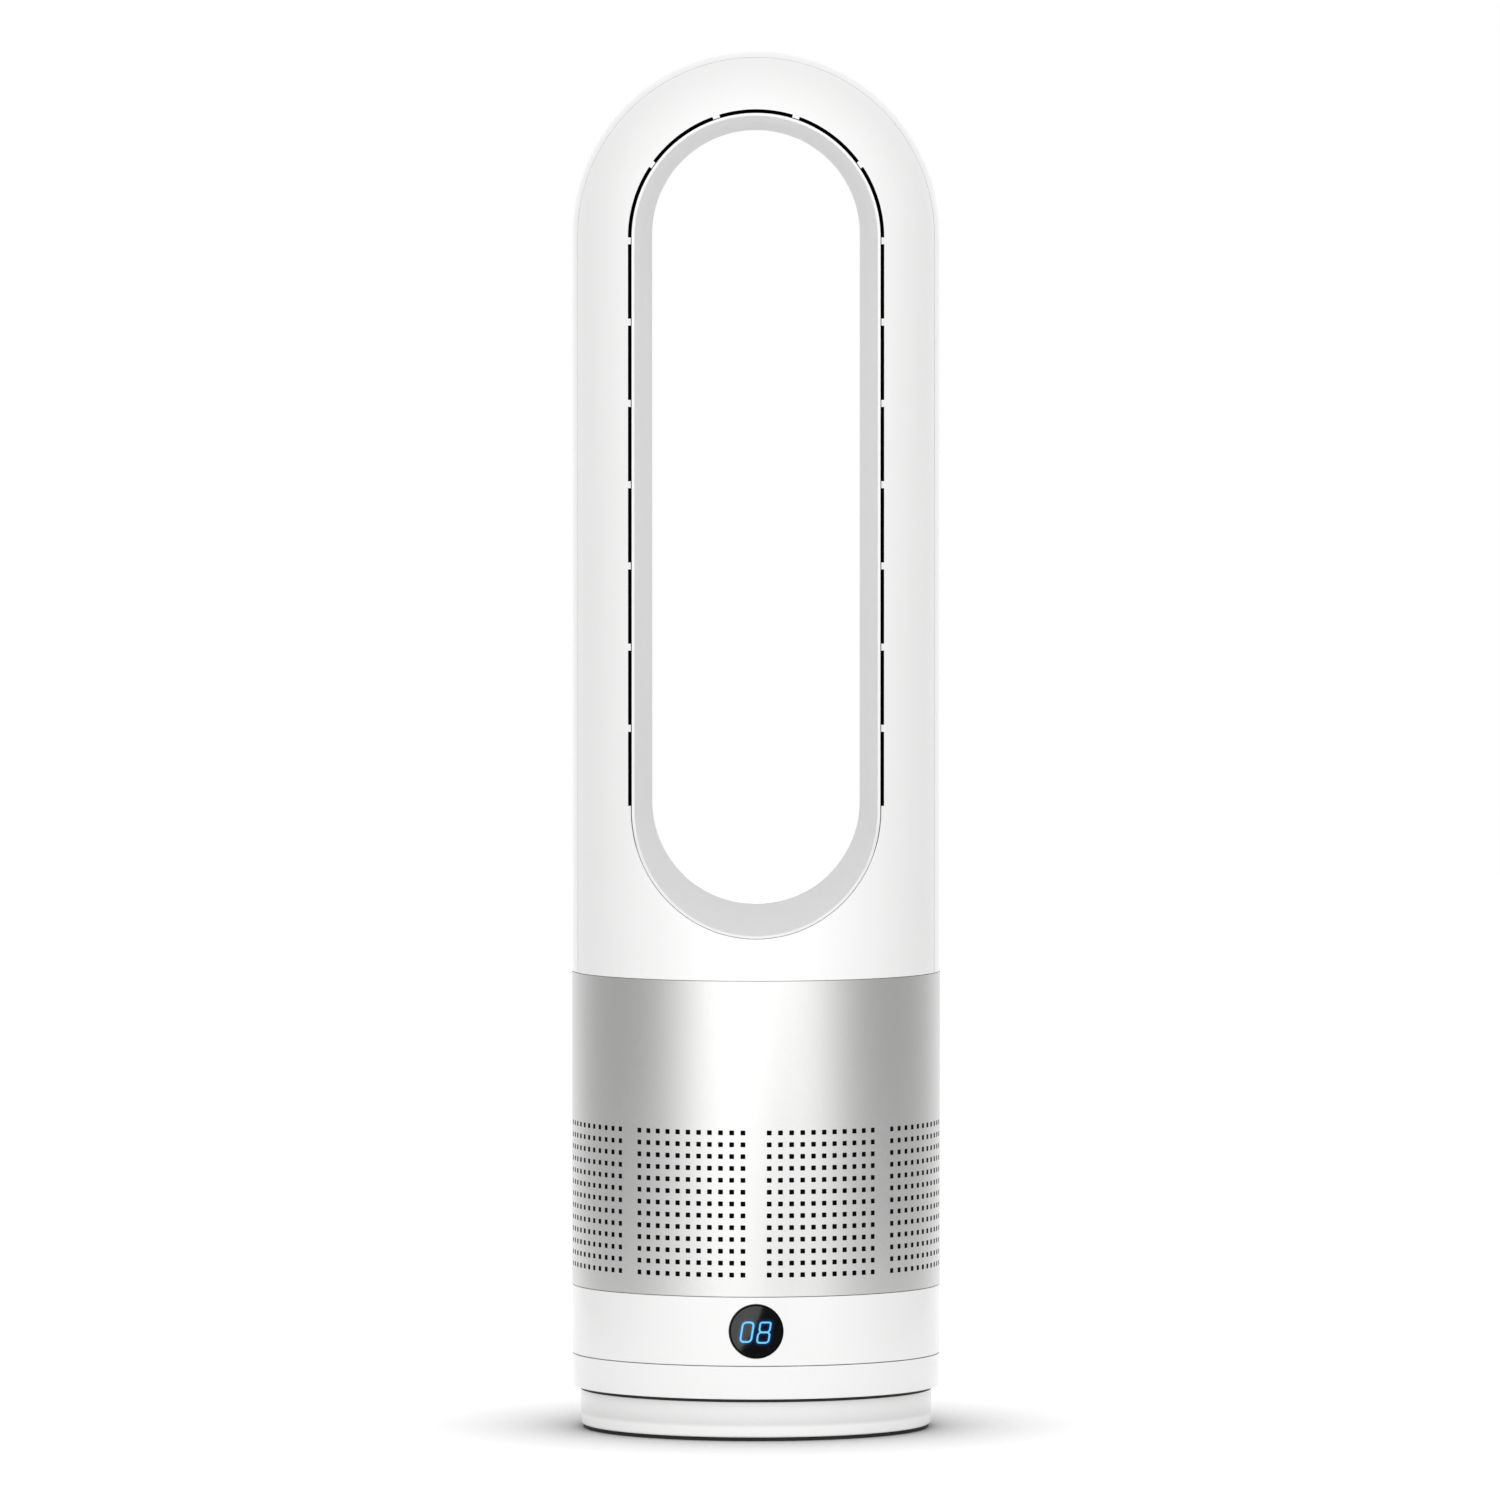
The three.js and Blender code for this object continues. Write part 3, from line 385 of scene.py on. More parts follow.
white_housing = Finish(
    "white_satin_abs", Specular_IOR_Level=0.5, Coat_Weight=0.6, Coat_Roughness=0.12
)
handling = white_housing.noise(14, 4, 0.55)
open_white = white_housing.between((0.885, 0.885, 0.880), (0.905, 0.905, 0.902), handling)
# Painted shade: an occlusion node darkens the white towards near-black in creases, seams, recesses
# and under the skirt's overhang. Close to the floor the painted shade is lifted off again.
out_of_painted_shade = white_housing.node(
    "AmbientOcclusion", {"samples": 8}, {"Distance": painted_shade_reach}, output="AO"
)
_, _, height = white_housing.split(white_housing.place)
near_floor = (shade_top - height) / shade_fade
out_of_painted_shade = out_of_painted_shade.at_least(near_floor).at_most(1)
white_housing.set("Base Color", white_housing.between((0.12,) * 3, open_white, out_of_painted_shade))
white_housing.set("Roughness", 0.30 + 0.10 * white_housing.noise(55, 4))
white_housing.relief(white_housing.noise(1500, 2), 0.000006)

drum_outline = [
    (collar_inner, collar_bottom),
    (collar_outer, collar_bottom),
    (collar_outer, deck_bottom),
    (drum_inner_radius, deck_bottom),
    (drum_inner_radius, drum_bottom),
    (drum_low_radius - drum_edge, drum_bottom),
    (drum_low_radius - drum_edge * 0.3, drum_bottom + drum_edge * 0.3),
    (drum_low_radius, drum_bottom + drum_edge),
    (drum_radius, shadow_band_bottom),
    (drum_radius - shadow_band_depth, shadow_band_bottom),
    (drum_radius - shadow_band_depth, drum_top),
    (collar_inner, drum_top),
]
drum = made("drum", turned(drum_outline, moulded_edge), white_housing, black_moulding)
for x, y in ((1, 1), (-1, 1), (-1, -1), (1, -1)):
    foot_point = Vector((x, y, 0)).normalized() * boss_reach
    boss_foot = foot_point + Vector((0, 0, boss_bottom))
    boss_head = foot_point + Vector((0, 0, deck_bottom + tool_overlap))
    cut(drum, rod_tool(boss_foot, boss_head, boss_radius), "UNION")
    pilot_head = foot_point + Vector((0, 0, pilot_top))
    cut(drum, rod_tool(foot_point, pilot_head, pilot_radius, 16))
cut(drum, box_tool(*inlet_room))
# Painted shade: the groove's faces take the black moulding, as the dark line under the skirt's
# edge.
for polygon in drum.data.polygons:
    in_shadow_band = polygon.center.xy.length < drum_radius - shadow_band_depth / 3
    if in_shadow_band and polygon.center.z > shadow_band_bottom - shadow_band_depth / 10:
        polygon.material_index = 1
fitted(drum, "base", "white_housing", "base_drum")

# ---------------------------------------------------------------------------------------------
# Power inlet: a black two-pole socket moulding at the back of the drum. Two plated pins stand
# in a pocket with round ends, and the cord's plug goes over them.

inlet_face = 0.10265
inlet_back = 0.0827
inlet_z = 0.0123
inlet_half_width = 0.0107
inlet_half_height = 0.0064
inlet_edge = 0.0004
pocket_side = 0.004
pocket_radius = 0.0045
pocket_depth = 0.013
pin_radius = 0.0012
pin_side = 0.0043
pin_length = 0.007
pin_root = 0.001
pin_taper = 0.0006
pin_steps = 24
behind_fan = 0.11

inlet_mesh = bmesh.new()
bmesh.ops.create_cube(inlet_mesh, size=1)
bmesh.ops.scale(
    inlet_mesh,
    vec=(2 * inlet_half_width, inlet_face - inlet_back, 2 * inlet_half_height),
    verts=inlet_mesh.verts[:],
)
rounded(inlet_mesh, inlet_mesh.edges[:], inlet_edge, 3, "EDGES")
bmesh.ops.translate(
    inlet_mesh,
    vec=(0, (inlet_face + inlet_back) / 2, inlet_z),
    verts=inlet_mesh.verts[:],
)
inlet = made("power_socket", inlet_mesh, black_moulding, steel)
pocket_floor = inlet_face - pocket_depth
for side in (-pocket_side, pocket_side):
    pocket_end = (side, pocket_floor, inlet_z)
    cut(inlet, rod_tool(pocket_end, (side, behind_fan, inlet_z), pocket_radius, 48))
pocket_low = (-pocket_side, pocket_floor, inlet_z - pocket_radius)
pocket_high = (pocket_side, behind_fan, inlet_z + pocket_radius)
cut(inlet, box_tool(pocket_low, pocket_high))
fitted(inlet, "base", "black_moulding", "power_inlet")

pin_mesh = bmesh.new()
pin_tip = pocket_floor + pin_length
pin_outline = [
    (0, pocket_floor - pin_root),
    (pin_radius, pocket_floor - pin_root),
    (pin_radius, pin_tip - pin_taper),
    (pin_radius / 2, pin_tip),
    (0, pin_tip),
]
for side in (-pin_side, pin_side):
    line = [pin_mesh.verts.new((side + radius, depth, inlet_z)) for radius, depth in pin_outline]
    edges = [pin_mesh.edges.new(pair) for pair in zip(line, line[1:])]
    bmesh.ops.spin(
        pin_mesh,
        geom=line + edges,
        cent=(side, 0, inlet_z),
        axis=(0, 1, 0),
        dvec=(0, 0, 0),
        angle=2 * math.pi,
        steps=pin_steps,
        use_merge=True,
    )
pins = made("socket_pins", closed(pin_mesh), steel)
fitted(pins, "base", "steel")

# ---------------------------------------------------------------------------------------------
# Swing drive: a ring of natural acetal that the head slides on, the fixed arc of internal teeth,
# and the plated gear motor whose acetal pinion climbs along it.

acetal = Finish("natural_acetal", Specular_IOR_Level=0.5)
acetal_cloud = acetal.noise(70, 3)
acetal.set("Base Color", acetal.between((0.76, 0.74, 0.67), (0.82, 0.80, 0.74), acetal_cloud))
acetal.set("Roughness", 0.34 + 0.14 * acetal.noise(300, 3))
acetal.relief(acetal.noise(1400, 2), 0.00001)

dressed(acetal, "slip_ring", "swing_sector", "swing_pinion")
dressed(steel, "swing_motor", "pivot_retainer")
dressed(steel, "retainer_screw_1", "retainer_screw_2", "retainer_screw_3")

# ---------------------------------------------------------------------------------------------
# Turntable: the lowest white ring of the head. Its skirt widens upwards, its deck carries the
# gear motor, and its hollow spigot turns in the drum's collar.

skirt_bottom = 0.0252
skirt_top = 0.0448
skirt_low_radius = 0.1091
body_radius = 0.1100
shell_inner_radius = 0.1075
lip_radius = 0.1072
lip_inner_radius = 0.1045
lip_top = 0.0490
table_bottom = 0.0312
table_top = 0.0342
spigot_inner = 0.0240
spigot_outer = 0.0300
skirt_wall = 0.0025
moulded_corner = 0.0004
pinion_y = 0.054
pinion_hole = 0.0033
screw_reach = 0.027
screw_hole_top = 0.024

table_outline = [
    (spigot_inner, collar_bottom),
    (spigot_outer, collar_bottom),
    (spigot_outer, table_bottom),
    (skirt_low_radius - skirt_wall, table_bottom),
    (skirt_low_radius - skirt_wall, skirt_bottom),
    (skirt_low_radius, skirt_bottom),
    (body_radius, skirt_top),
    (lip_radius, skirt_top),
    (lip_radius, lip_top),
    (lip_inner_radius, lip_top),
    (lip_inner_radius - skirt_wall, table_top),
    (spigot_inner, table_top),
]
table = made("skirt_and_deck", turned(table_outline, moulded_corner), white_housing)
below_deck = (0, pinion_y, table_bottom - tool_overlap)
above_deck = (0, pinion_y, table_top + tool_overlap)
cut(table, rod_tool(below_deck, above_deck, pinion_hole))
for turn in (30, 150, 270):
    hole_foot = Matrix.Rotation(math.radians(turn), 4, "Z") @ Vector((screw_reach, 0, 0))
    hole_head = hole_foot + Vector((0, 0, screw_hole_top))
    cut(table, rod_tool(hole_foot, hole_head, pilot_radius, 16))
fitted(table, "head", "white_housing", "turntable")

# ---------------------------------------------------------------------------------------------
# Control ring: a white ring that stands on the turntable's lip. A round hole at the front holds
# the display, a shelf inside carries the air deck, and two posts carry the display's board.

ring_bottom = 0.0451
ring_top = 0.0859
shelf_top = 0.0815
shelf_radius = 0.1015
display_z = 0.0657
hole_radius = 0.0163
board_front = -0.1025
shelf_thickness = 0.0025
shelf_slope = 0.0030
post_side = 0.021
post_front = -0.1065
post_end = -0.1028
post_radius = 0.0025
before_fan = -0.12
fine_steps = 256
round_hole_steps = 128

ring_outline = [
    (shell_inner_radius, ring_bottom),
    (body_radius, ring_bottom),
    (body_radius, ring_top),
    (shell_inner_radius, ring_top),
    (shell_inner_radius, shelf_top),
    (shelf_radius, shelf_top),
    (shelf_radius, shelf_top - shelf_thickness),
    (shell_inner_radius, shelf_top - shelf_thickness - shelf_slope),
]


def sight_rod(radius, back):
    """A round bar from before the fan back through the display's middle."""
    return rod_tool((0, before_fan, display_z), (0, back, display_z), radius, round_hole_steps)


control = made("control_band", turned(ring_outline, moulded_corner, fine_steps), white_housing)
cut(control, sight_rod(hole_radius, board_front))
for side in (-post_side, post_side):
    post = rod_tool((side, post_front, display_z), (side, post_end, display_z), post_radius)
    cut(control, post, "UNION")
shaded_by_curve(control, round_the_axis)
fitted(control, "head", "white_housing", "control_ring")

# ---------------------------------------------------------------------------------------------
# Display window: a polished black acrylic disc, cut from a curved sheet so that it lies flush
# in the ring. Its edge is eased and printed with a black border, and the digits glow through it.
# A painted glow round the digits lies in its emission colour.

window_radius = 0.0160
window_face = 0.1099
window_thickness = 0.0023
window_edge = 0.0002
window_step = 0.0003
behind_window = -0.1
border_inner = 0.0149
border_outer = 0.0158
border_skin = 0.00003

digit_slant = math.tan(math.radians(9))
nought = (-0.0091, -0.0015, 0.0589, 0.0716)
nought_stroke = 0.00115
nought_corner = 0.0027
eight_top = (0.0013, 0.0085, 0.0646, 0.0715)
eight_foot = (0.0009, 0.0088, 0.05845, 0.0657)
eight_stroke = 0.0010
eight_top_corner = 0.0016
eight_foot_corner = 0.0023
eight_waist_corner = 0.0026
painted_glow_reach = 0.0027


def near_stroke(finish, box, corner):
    """From 1 on a digit's stroke down to 0 beyond the painted glow round it in the window."""
    x, _, height = finish.split(finish.place)
    across = x - (height - display_z) * digit_slant
    left, right, low, high = box
    beside = abs(across - (left + right) / 2) - ((right - left) / 2 - corner)
    over = abs(height - (low + high) / 2) - ((high - low) / 2 - corner)
    outside = (beside.at_least(0) ** 2 + over.at_least(0) ** 2) ** 0.5
    inside = beside.at_least(over).at_most(0)
    off_line = abs(outside + inside - corner + eight_stroke / 2)
    return (1 - off_line / painted_glow_reach).at_least(0) ** 2


window_glass = Finish("smoked_acrylic", Specular_IOR_Level=0.5, IOR=1.6)
# Painted glow: the window's emission colour lights a blue halo round the digits' strokes.
painted_glow = near_stroke(window_glass, nought, nought_corner)
painted_glow = painted_glow.at_least(near_stroke(window_glass, eight_top, eight_top_corner))
painted_glow = painted_glow.at_least(near_stroke(window_glass, eight_foot, eight_foot_corner))
window_glass.set("Emission Color", window_glass.between((0, 0, 0), (0.0, 0.05, 0.20), painted_glow))
window_glass.set("Emission Strength", 1.0)
smears = window_glass.noise(60, 4)
window_glass.set(
    "Base Color",
    window_glass.between((0.004, 0.004, 0.005), (0.008, 0.008, 0.009), smears),
)
window_glass.set("Roughness", 0.02 + 0.03 * window_glass.noise(120, 3))
window_glass.relief(window_glass.noise(700, 2), 0.000002)

window_outline = [
    (window_face - window_thickness, ring_bottom),
    (window_face, ring_bottom),
    (window_face, ring_top),
    (window_face - window_thickness, ring_top),
]
window = made("display_window", turned(window_outline, window_edge, fine_steps), window_glass)
cut(window, sight_rod(window_radius, behind_window), "INTERSECT")
eased(window, window_step)
shaded_by_curve(window, round_the_axis)
fitted(window, "head", "display_window", "display_lens")

border_ink = Finish("black_border_ink", Specular_IOR_Level=0.05)
ink_density = border_ink.noise(900, 2)
border_ink.set("Base Color", border_ink.between((0.002,) * 3, (0.004,) * 3, ink_density))
border_ink.set("Roughness", 0.6 + 0.2 * ink_density)
border_outline = [
    (window_face + border_skin / 3, ring_bottom),
    (window_face + border_skin, ring_bottom),
    (window_face + border_skin, ring_top),
    (window_face + border_skin / 3, ring_top),
]
border = made("window_border", turned(border_outline, border_skin / 8, fine_steps), border_ink)
cut(border, sight_rod(border_outer, behind_window), "INTERSECT")
cut(border, sight_rod(border_inner, behind_window))
shaded_by_curve(border, round_the_axis)
fitted(border, "head", "display_window")

# ---------------------------------------------------------------------------------------------
# Display digits: two light blue numerals of about 13 mm, which shine through the window from
# the light box behind it. Each is a flat outline with a slight slant, laid on the window.

digit_face = 0.10996
behind_digit = 0.00001
strip_width = 0.0008
strips_aside = 14
corner_steps = 7
digit_light = Finish("lit_digits", Base_Color=(0.01, 0.02, 0.03, 1), Roughness=0.4)
glow = digit_light.noise(500, 2)
digit_light.set(
    "Emission Color",
    digit_light.between((0.10, 0.57, 0.92), (0.14, 0.64, 0.96), glow),
)
digit_light.set("Emission Strength", 1.0)


def loop(box, stroke, low_corner, high_corner, sink=0.0):
    """One closed stroke with round corners, slanted and laid on the window."""
    drawn = bmesh.new()
    left, right, low, high = box
    places = ((left, low), (right, low), (right, high), (left, high))
    corners = [drawn.verts.new((x, 0, z)) for x, z in places]
    drawn.faces.new(corners)
    rounded(drawn, corners[:2], low_corner, corner_steps)
    rounded(drawn, corners[2:], high_corner, corner_steps)
    middle = drawn.faces[:]
    bmesh.ops.inset_region(
        drawn, faces=middle, thickness=stroke, use_boundary=True, use_even_offset=True
    )
    bmesh.ops.delete(drawn, geom=middle, context="FACES")
    for column in range(-strips_aside, strips_aside + 1):
        bmesh.ops.bisect_plane(
            drawn,
            geom=drawn.verts[:] + drawn.edges[:] + drawn.faces[:],
            plane_co=(column * strip_width, 0, 0),
            plane_no=(1, 0, 0),
        )
    for point in drawn.verts:
        point.co.x += (point.co.z - display_z) * digit_slant
        point.co.y = -math.sqrt((digit_face - sink) ** 2 - point.co.x**2)
    bmesh.ops.recalc_face_normals(drawn, faces=drawn.faces[:])
    for cell in drawn.faces:
        if cell.normal.y > 0:
            cell.normal_flip()
    kept = bpy.data.meshes.new("stroke")
    drawn.to_mesh(kept)
    drawn.free()
    return kept


digits_mesh = bmesh.new()
digits_mesh.from_mesh(loop(nought, nought_stroke, nought_corner, nought_corner))
digits_mesh.from_mesh(loop(eight_top, eight_stroke, eight_waist_corner, eight_top_corner))
digits_mesh.from_mesh(
    loop(eight_foot, eight_stroke, eight_foot_corner, eight_waist_corner, behind_digit)
)
digits = made("display_digits", digits_mesh, digit_light)
fitted(digits, "head", "display_window")

# ---------------------------------------------------------------------------------------------
# Electronics: the light box and driver board behind the window, and the power board that hangs
# under the grey air deck. The boards are green glass laminate with fine copper tracks.

circuit = Finish("solder_masked_board", Specular_IOR_Level=0.5)
tracks = circuit.node("TexBrick", {}, {"Vector": circuit.place, "Scale": 220.0}, output="Fac")
circuit.set("Base Color", circuit.between((0.016, 0.10, 0.045), (0.035, 0.17, 0.075), tracks))
circuit.set("Roughness", 0.32 + 0.2 * circuit.noise(300, 3))
circuit.relief(tracks, 0.00003)

grey_moulding = Finish("grey_moulding", Specular_IOR_Level=0.4)
grey_flow = grey_moulding.noise(40, 3)
grey_moulding.set(
    "Base Color",
    grey_moulding.between((0.23, 0.24, 0.25), (0.28, 0.29, 0.30), grey_flow),
)
grey_moulding.set("Roughness", 0.5 + 0.14 * grey_moulding.noise(260, 3))
grey_moulding.relief(grey_moulding.noise(2400, 2), 0.00003)

dressed(acetal, "display_reflector")
dressed(circuit, "display_board", "main_board")
dressed(grey_moulding, "air_deck")

# ---------------------------------------------------------------------------------------------
# Sleeve: a tube rolled from aluminium sheet with a satin silver coat. Air goes in through eight
# groups of small punched holes with eased corners, thirteen rows of eleven in each. The plain
# strip at the back is the sheet's join. The sheet's inner face and the walls of its holes are
# painted near-black, and a black gauze lines the holes: both are painted shade, so that the
# holes read dark.

sleeve_bottom = 0.0862
sleeve_top = 0.2730
sleeve_wall = 0.0018
hole_columns = 11
hole_rows = 13
hole_side = 0.0029
hole_corner = 0.0003
hole_angle = math.degrees(hole_side / body_radius)
column_pitch = 3.49
row_pitch = 0.00702
lowest_row = 0.09907
groups = 8
group_angle = 43
edge_gap = (group_angle - (hole_columns - 1) * column_pitch - hole_angle) / 2
join_angle = 360 - groups * group_angle
join_start = 90 - join_angle / 2
join_steps = 5
gauze_gap = 0.0002
gauze_wall = 0.0003
gauze_bottom = 0.0925
gauze_top = 0.1900
thread = 0.0007

silver = Finish("satin_silver_sheet", Metallic=1.0)
coating = silver.noise(900, 3)
silver.set("Base Color", silver.between((0.62, 0.62, 0.615), (0.67, 0.67, 0.665), coating))
silver.set("Roughness", 0.30 + 0.08 * silver.noise(240, 4))
silver.relief(silver.noise(5200, 2), 0.000004)

# Near-black, painted shade: it goes on the inner faces of the sleeve and the hoop's shells, the
# walls of the sleeve's holes and the seam between the shells.
painted_shade_dark = Finish("painted_shade_dark", Specular_IOR_Level=0.2)
painted_shade_dark.set(
    "Base Color",
    painted_shade_dark.between((0.006, 0.006, 0.006), (0.010, 0.010, 0.010), painted_shade_dark.noise(120)),
)
painted_shade_dark.set("Roughness", 0.85 + 0.1 * painted_shade_dark.noise(700))
painted_shade_dark.relief(painted_shade_dark.noise(1500, 2), 0.00003)


def swept(mesh, line, degrees, steps, axis=(0, 0, 1), centre=(0, 0, 0)):
    """Turns a line of vertices and edges on; gives the new faces and the line at the end."""
    before = set(mesh.faces)
    result = bmesh.ops.spin(
        mesh,
        geom=line,
        cent=centre,
        axis=axis,
        dvec=(0, 0, 0),
        angle=math.radians(degrees),
        steps=steps,
        use_merge=False,
    )
    return [cell for cell in mesh.faces if cell not in before], result["geom_last"]


def upright(mesh, degrees):
    """A line of corners and edges at all levels of the sheet, at an angle round the axis."""
    turning = Matrix.Rotation(math.radians(degrees), 3, "Z")
    points = [mesh.verts.new(turning @ Vector((body_radius, 0, height))) for height in levels]
    return points + [mesh.edges.new(pair) for pair in zip(points, points[1:])]


levels = [sleeve_bottom]
for row in range(hole_rows):
    middle = lowest_row + row * row_pitch
    levels += [middle - hole_side / 2, middle + hole_side / 2]
levels += [(levels[-1] + sleeve_top) / 2, sleeve_top]

sheet = bmesh.new()
line = upright(sheet, join_start + join_angle)
punched = []
_, line = swept(sheet, line, edge_gap, 2)
for column in range(hole_columns):
    cells, line = swept(sheet, line, hole_angle, 1)
    for cell in cells:
        height = cell.calc_center_median().z
        nearest = round((height - lowest_row) / row_pitch)
        off = abs(height - lowest_row - nearest * row_pitch)
        if 0 <= nearest < hole_rows and off < row_pitch / 4:
            punched.append(cell)
    if column < hole_columns - 1:
        _, line = swept(sheet, line, column_pitch - hole_angle, 1)
_, line = swept(sheet, line, edge_gap, 2)
corners = list({corner for cell in punched for corner in cell.verts})
bmesh.ops.delete(sheet, geom=punched, context="FACES_ONLY")
rounded(sheet, corners, hole_corner, 1)
one_group = sheet.verts[:] + sheet.edges[:] + sheet.faces[:]
for turn in range(1, groups):
    copy = bmesh.ops.duplicate(sheet, geom=one_group)
    copied = [part for part in copy["geom"] if isinstance(part, bmesh.types.BMVert)]
    turning = Matrix.Rotation(math.radians(turn * group_angle), 3, "Z")
    bmesh.ops.rotate(sheet, cent=(0, 0, 0), matrix=turning, verts=copied)
swept(sheet, upright(sheet, join_start), join_angle, join_steps)
sleeve = made("perforated_sleeve", closed(sheet), silver, painted_shade_dark)
thick = sleeve.modifiers.new("sheet", "SOLIDIFY")
thick.thickness = sleeve_wall
thick.offset = -1
thick.use_even_offset = True
# The inner face and the walls of the holes take the near-black: painted shade, so that the holes
# read dark.
thick.material_offset = 1
thick.material_offset_rim = 1
finished(sleeve)
shaded_by_curve(sleeve, round_the_axis)
fitted(sleeve, "head", "silver_sheet", "sleeve")

# The black gauze is painted shade: a dark sheet behind the holes, so that they read dark.
gauze_cloth = Finish("black_gauze", Specular_IOR_Level=0.05)
threads = gauze_cloth.node(
    "TexChecker", {}, {"Vector": gauze_cloth.place, "Scale": 1 / thread}, output="Fac"
)
gauze_cloth.set("Base Color", gauze_cloth.between((0.003,) * 3, (0.008,) * 3, threads))
gauze_cloth.set("Roughness", 0.8 + 0.15 * threads)
gauze_cloth.relief(threads, 0.0001)

gauze_radius = body_radius - sleeve_wall - gauze_gap
gauze_outline = [
    (gauze_radius - gauze_wall, gauze_bottom),
    (gauze_radius, gauze_bottom),
    (gauze_radius, gauze_top),
    (gauze_radius - gauze_wall, gauze_top),
]
gauze = made("shade_gauze", turned(gauze_outline, gauze_wall / 4), gauze_cloth)
fitted(gauze, "head", "black_moulding")

# ---------------------------------------------------------------------------------------------
# Air mover: a black intake lip, grey duct and black guide vanes round the motor's pod. The motor
# sits in a rubber cup and spins a black mixed-flow impeller on a steel shaft and nut.

dressed(black_moulding, "bellmouth", "guide_vanes", "impeller", "tail_cone")
dressed(grey_moulding, "fan_shroud")
dressed(rubber, "motor_isolator")
dressed(steel, "motor_can", "lower_bearing", "upper_bearing", "motor_shaft", "impeller_nut")

# ---------------------------------------------------------------------------------------------
# Hoop front shell: the front part of the white hollow hoop, moulded with a wall of 2.5 mm. It is
# a tube with a domed top, and nineteen air slots notch the edge of its opening. Its faces at the
# seam with the rear shell, and its inner faces, are painted near-black as painted shade.

hoop_bottom = 0.2733
lower_arc_z = 0.3720
arch_z = 0.7120
hoop_wall = 0.0025
hoop_edge = 0.00025
opening_reach = 0.080
slot_strip = 0.0017
front_edge = 0.0741
parting_front = -0.02920
parting_rear = -0.02880
slot_length = 0.0440
slot_pitch = 0.0481
slot_drop = 0.0040
side_slots = 7
arch_slots = 5
arch_bridge = 3.2
arch_slot_steps = 18
arch_bridge_steps = 2
panel_steps = 48
rows_below = 8
bottom_rim = 0.001
seam_reach = 0.0003
same_place = 1e-6
forwards = (0, -1, 0)
arch_centre = (0, 0, arch_z)
arch_pitch = (180 + arch_bridge) / arch_slots
slot_tops = [arch_z - slot_drop - slot * slot_pitch for slot in range(side_slots)]


def on_body(x):
    """Depth of the body's round surface in front of or behind a place x from the middle."""
    return math.sqrt(max(body_radius**2 - x**2, 0))


def section_angle(depth):
    """Angle round the body, from the front, at which its surface has this depth."""
    return math.acos(-depth / body_radius)


def drawn_on(mesh, line):
    """Draws the edges of a line on to new faces; gives the new points and the new edges."""
    edges = [part for part in line if isinstance(part, bmesh.types.BMEdge)]
    grown = bmesh.ops.extrude_edge_only(mesh, edges=edges)["geom"]
    points = [part for part in grown if isinstance(part, bmesh.types.BMVert)]
    return points, [part for part in grown if isinstance(part, bmesh.types.BMEdge)]


def hoop_skin(angles, inner, facing):
    """
    Outer skin of one half of the hoop: the section's angles are spun over the arch and drawn
    down both sides, and the panel below the opening is drawn across from its inner edge.
    """
    skin = bmesh.new()
    row = [
        skin.verts.new((body_radius * math.sin(a), -body_radius * math.cos(a), arch_z))
        for a in angles
    ]
    right = row + [skin.edges.new(pair) for pair in zip(row, row[1:])]
    left = right
    for slot in range(arch_slots):
        slot_turn = arch_pitch - arch_bridge
        _, left = swept(skin, left, slot_turn, arch_slot_steps, forwards, arch_centre)
        if slot < arch_slots - 1:
            _, left = swept(skin, left, arch_bridge, arch_bridge_steps, forwards, arch_centre)
    stations = []
    for top in slot_tops:
        stations += [top, top - slot_length]
    stations.append(lower_arc_z)
    stations += [
        lower_arc_z + (hoop_bottom - lower_arc_z) * i / rows_below for i in range(1, rows_below + 1)
    ]
    inner_lines = []
    for line in (right, left):
        inner_line = []
        for height in stations:
            points, line = drawn_on(skin, line)
            for point in points:
                point.co.z = height
            if height <= lower_arc_z:
                inner_line.append(min(points, key=lambda point: abs(point.co.x)))
        inner_lines.append(inner_line)
    line = inner_lines[0]
    edges = [skin.edges.get(pair) for pair in zip(line, line[1:])]
    for step in range(1, panel_steps + 1):
        across = math.pi * step / panel_steps
        points, edges = drawn_on(skin, edges)
        points.sort(key=lambda point: -point.co.z)
        x = inner * math.cos(across)
        top = lower_arc_z - inner * math.sin(across)
        for i, point in enumerate(points):
            height = top + (hoop_bottom - top) * i / (len(points) - 1)
            point.co = (x, facing * on_body(x), height)
        edges = [e for e in edges if all(abs(v.co.x - x) < same_place for v in e.verts)]
    return closed(skin)


def turned_outwards(skin):
    """Points an open skin's faces away from the body's axis and from the arch's centre."""
    for cell in skin.faces:
        centre = cell.calc_center_median()
        outward = centre - Vector((0, 0, min(centre.z, arch_z)))
        if cell.normal.dot(outward) < 0:
            cell.normal_flip()
    return skin


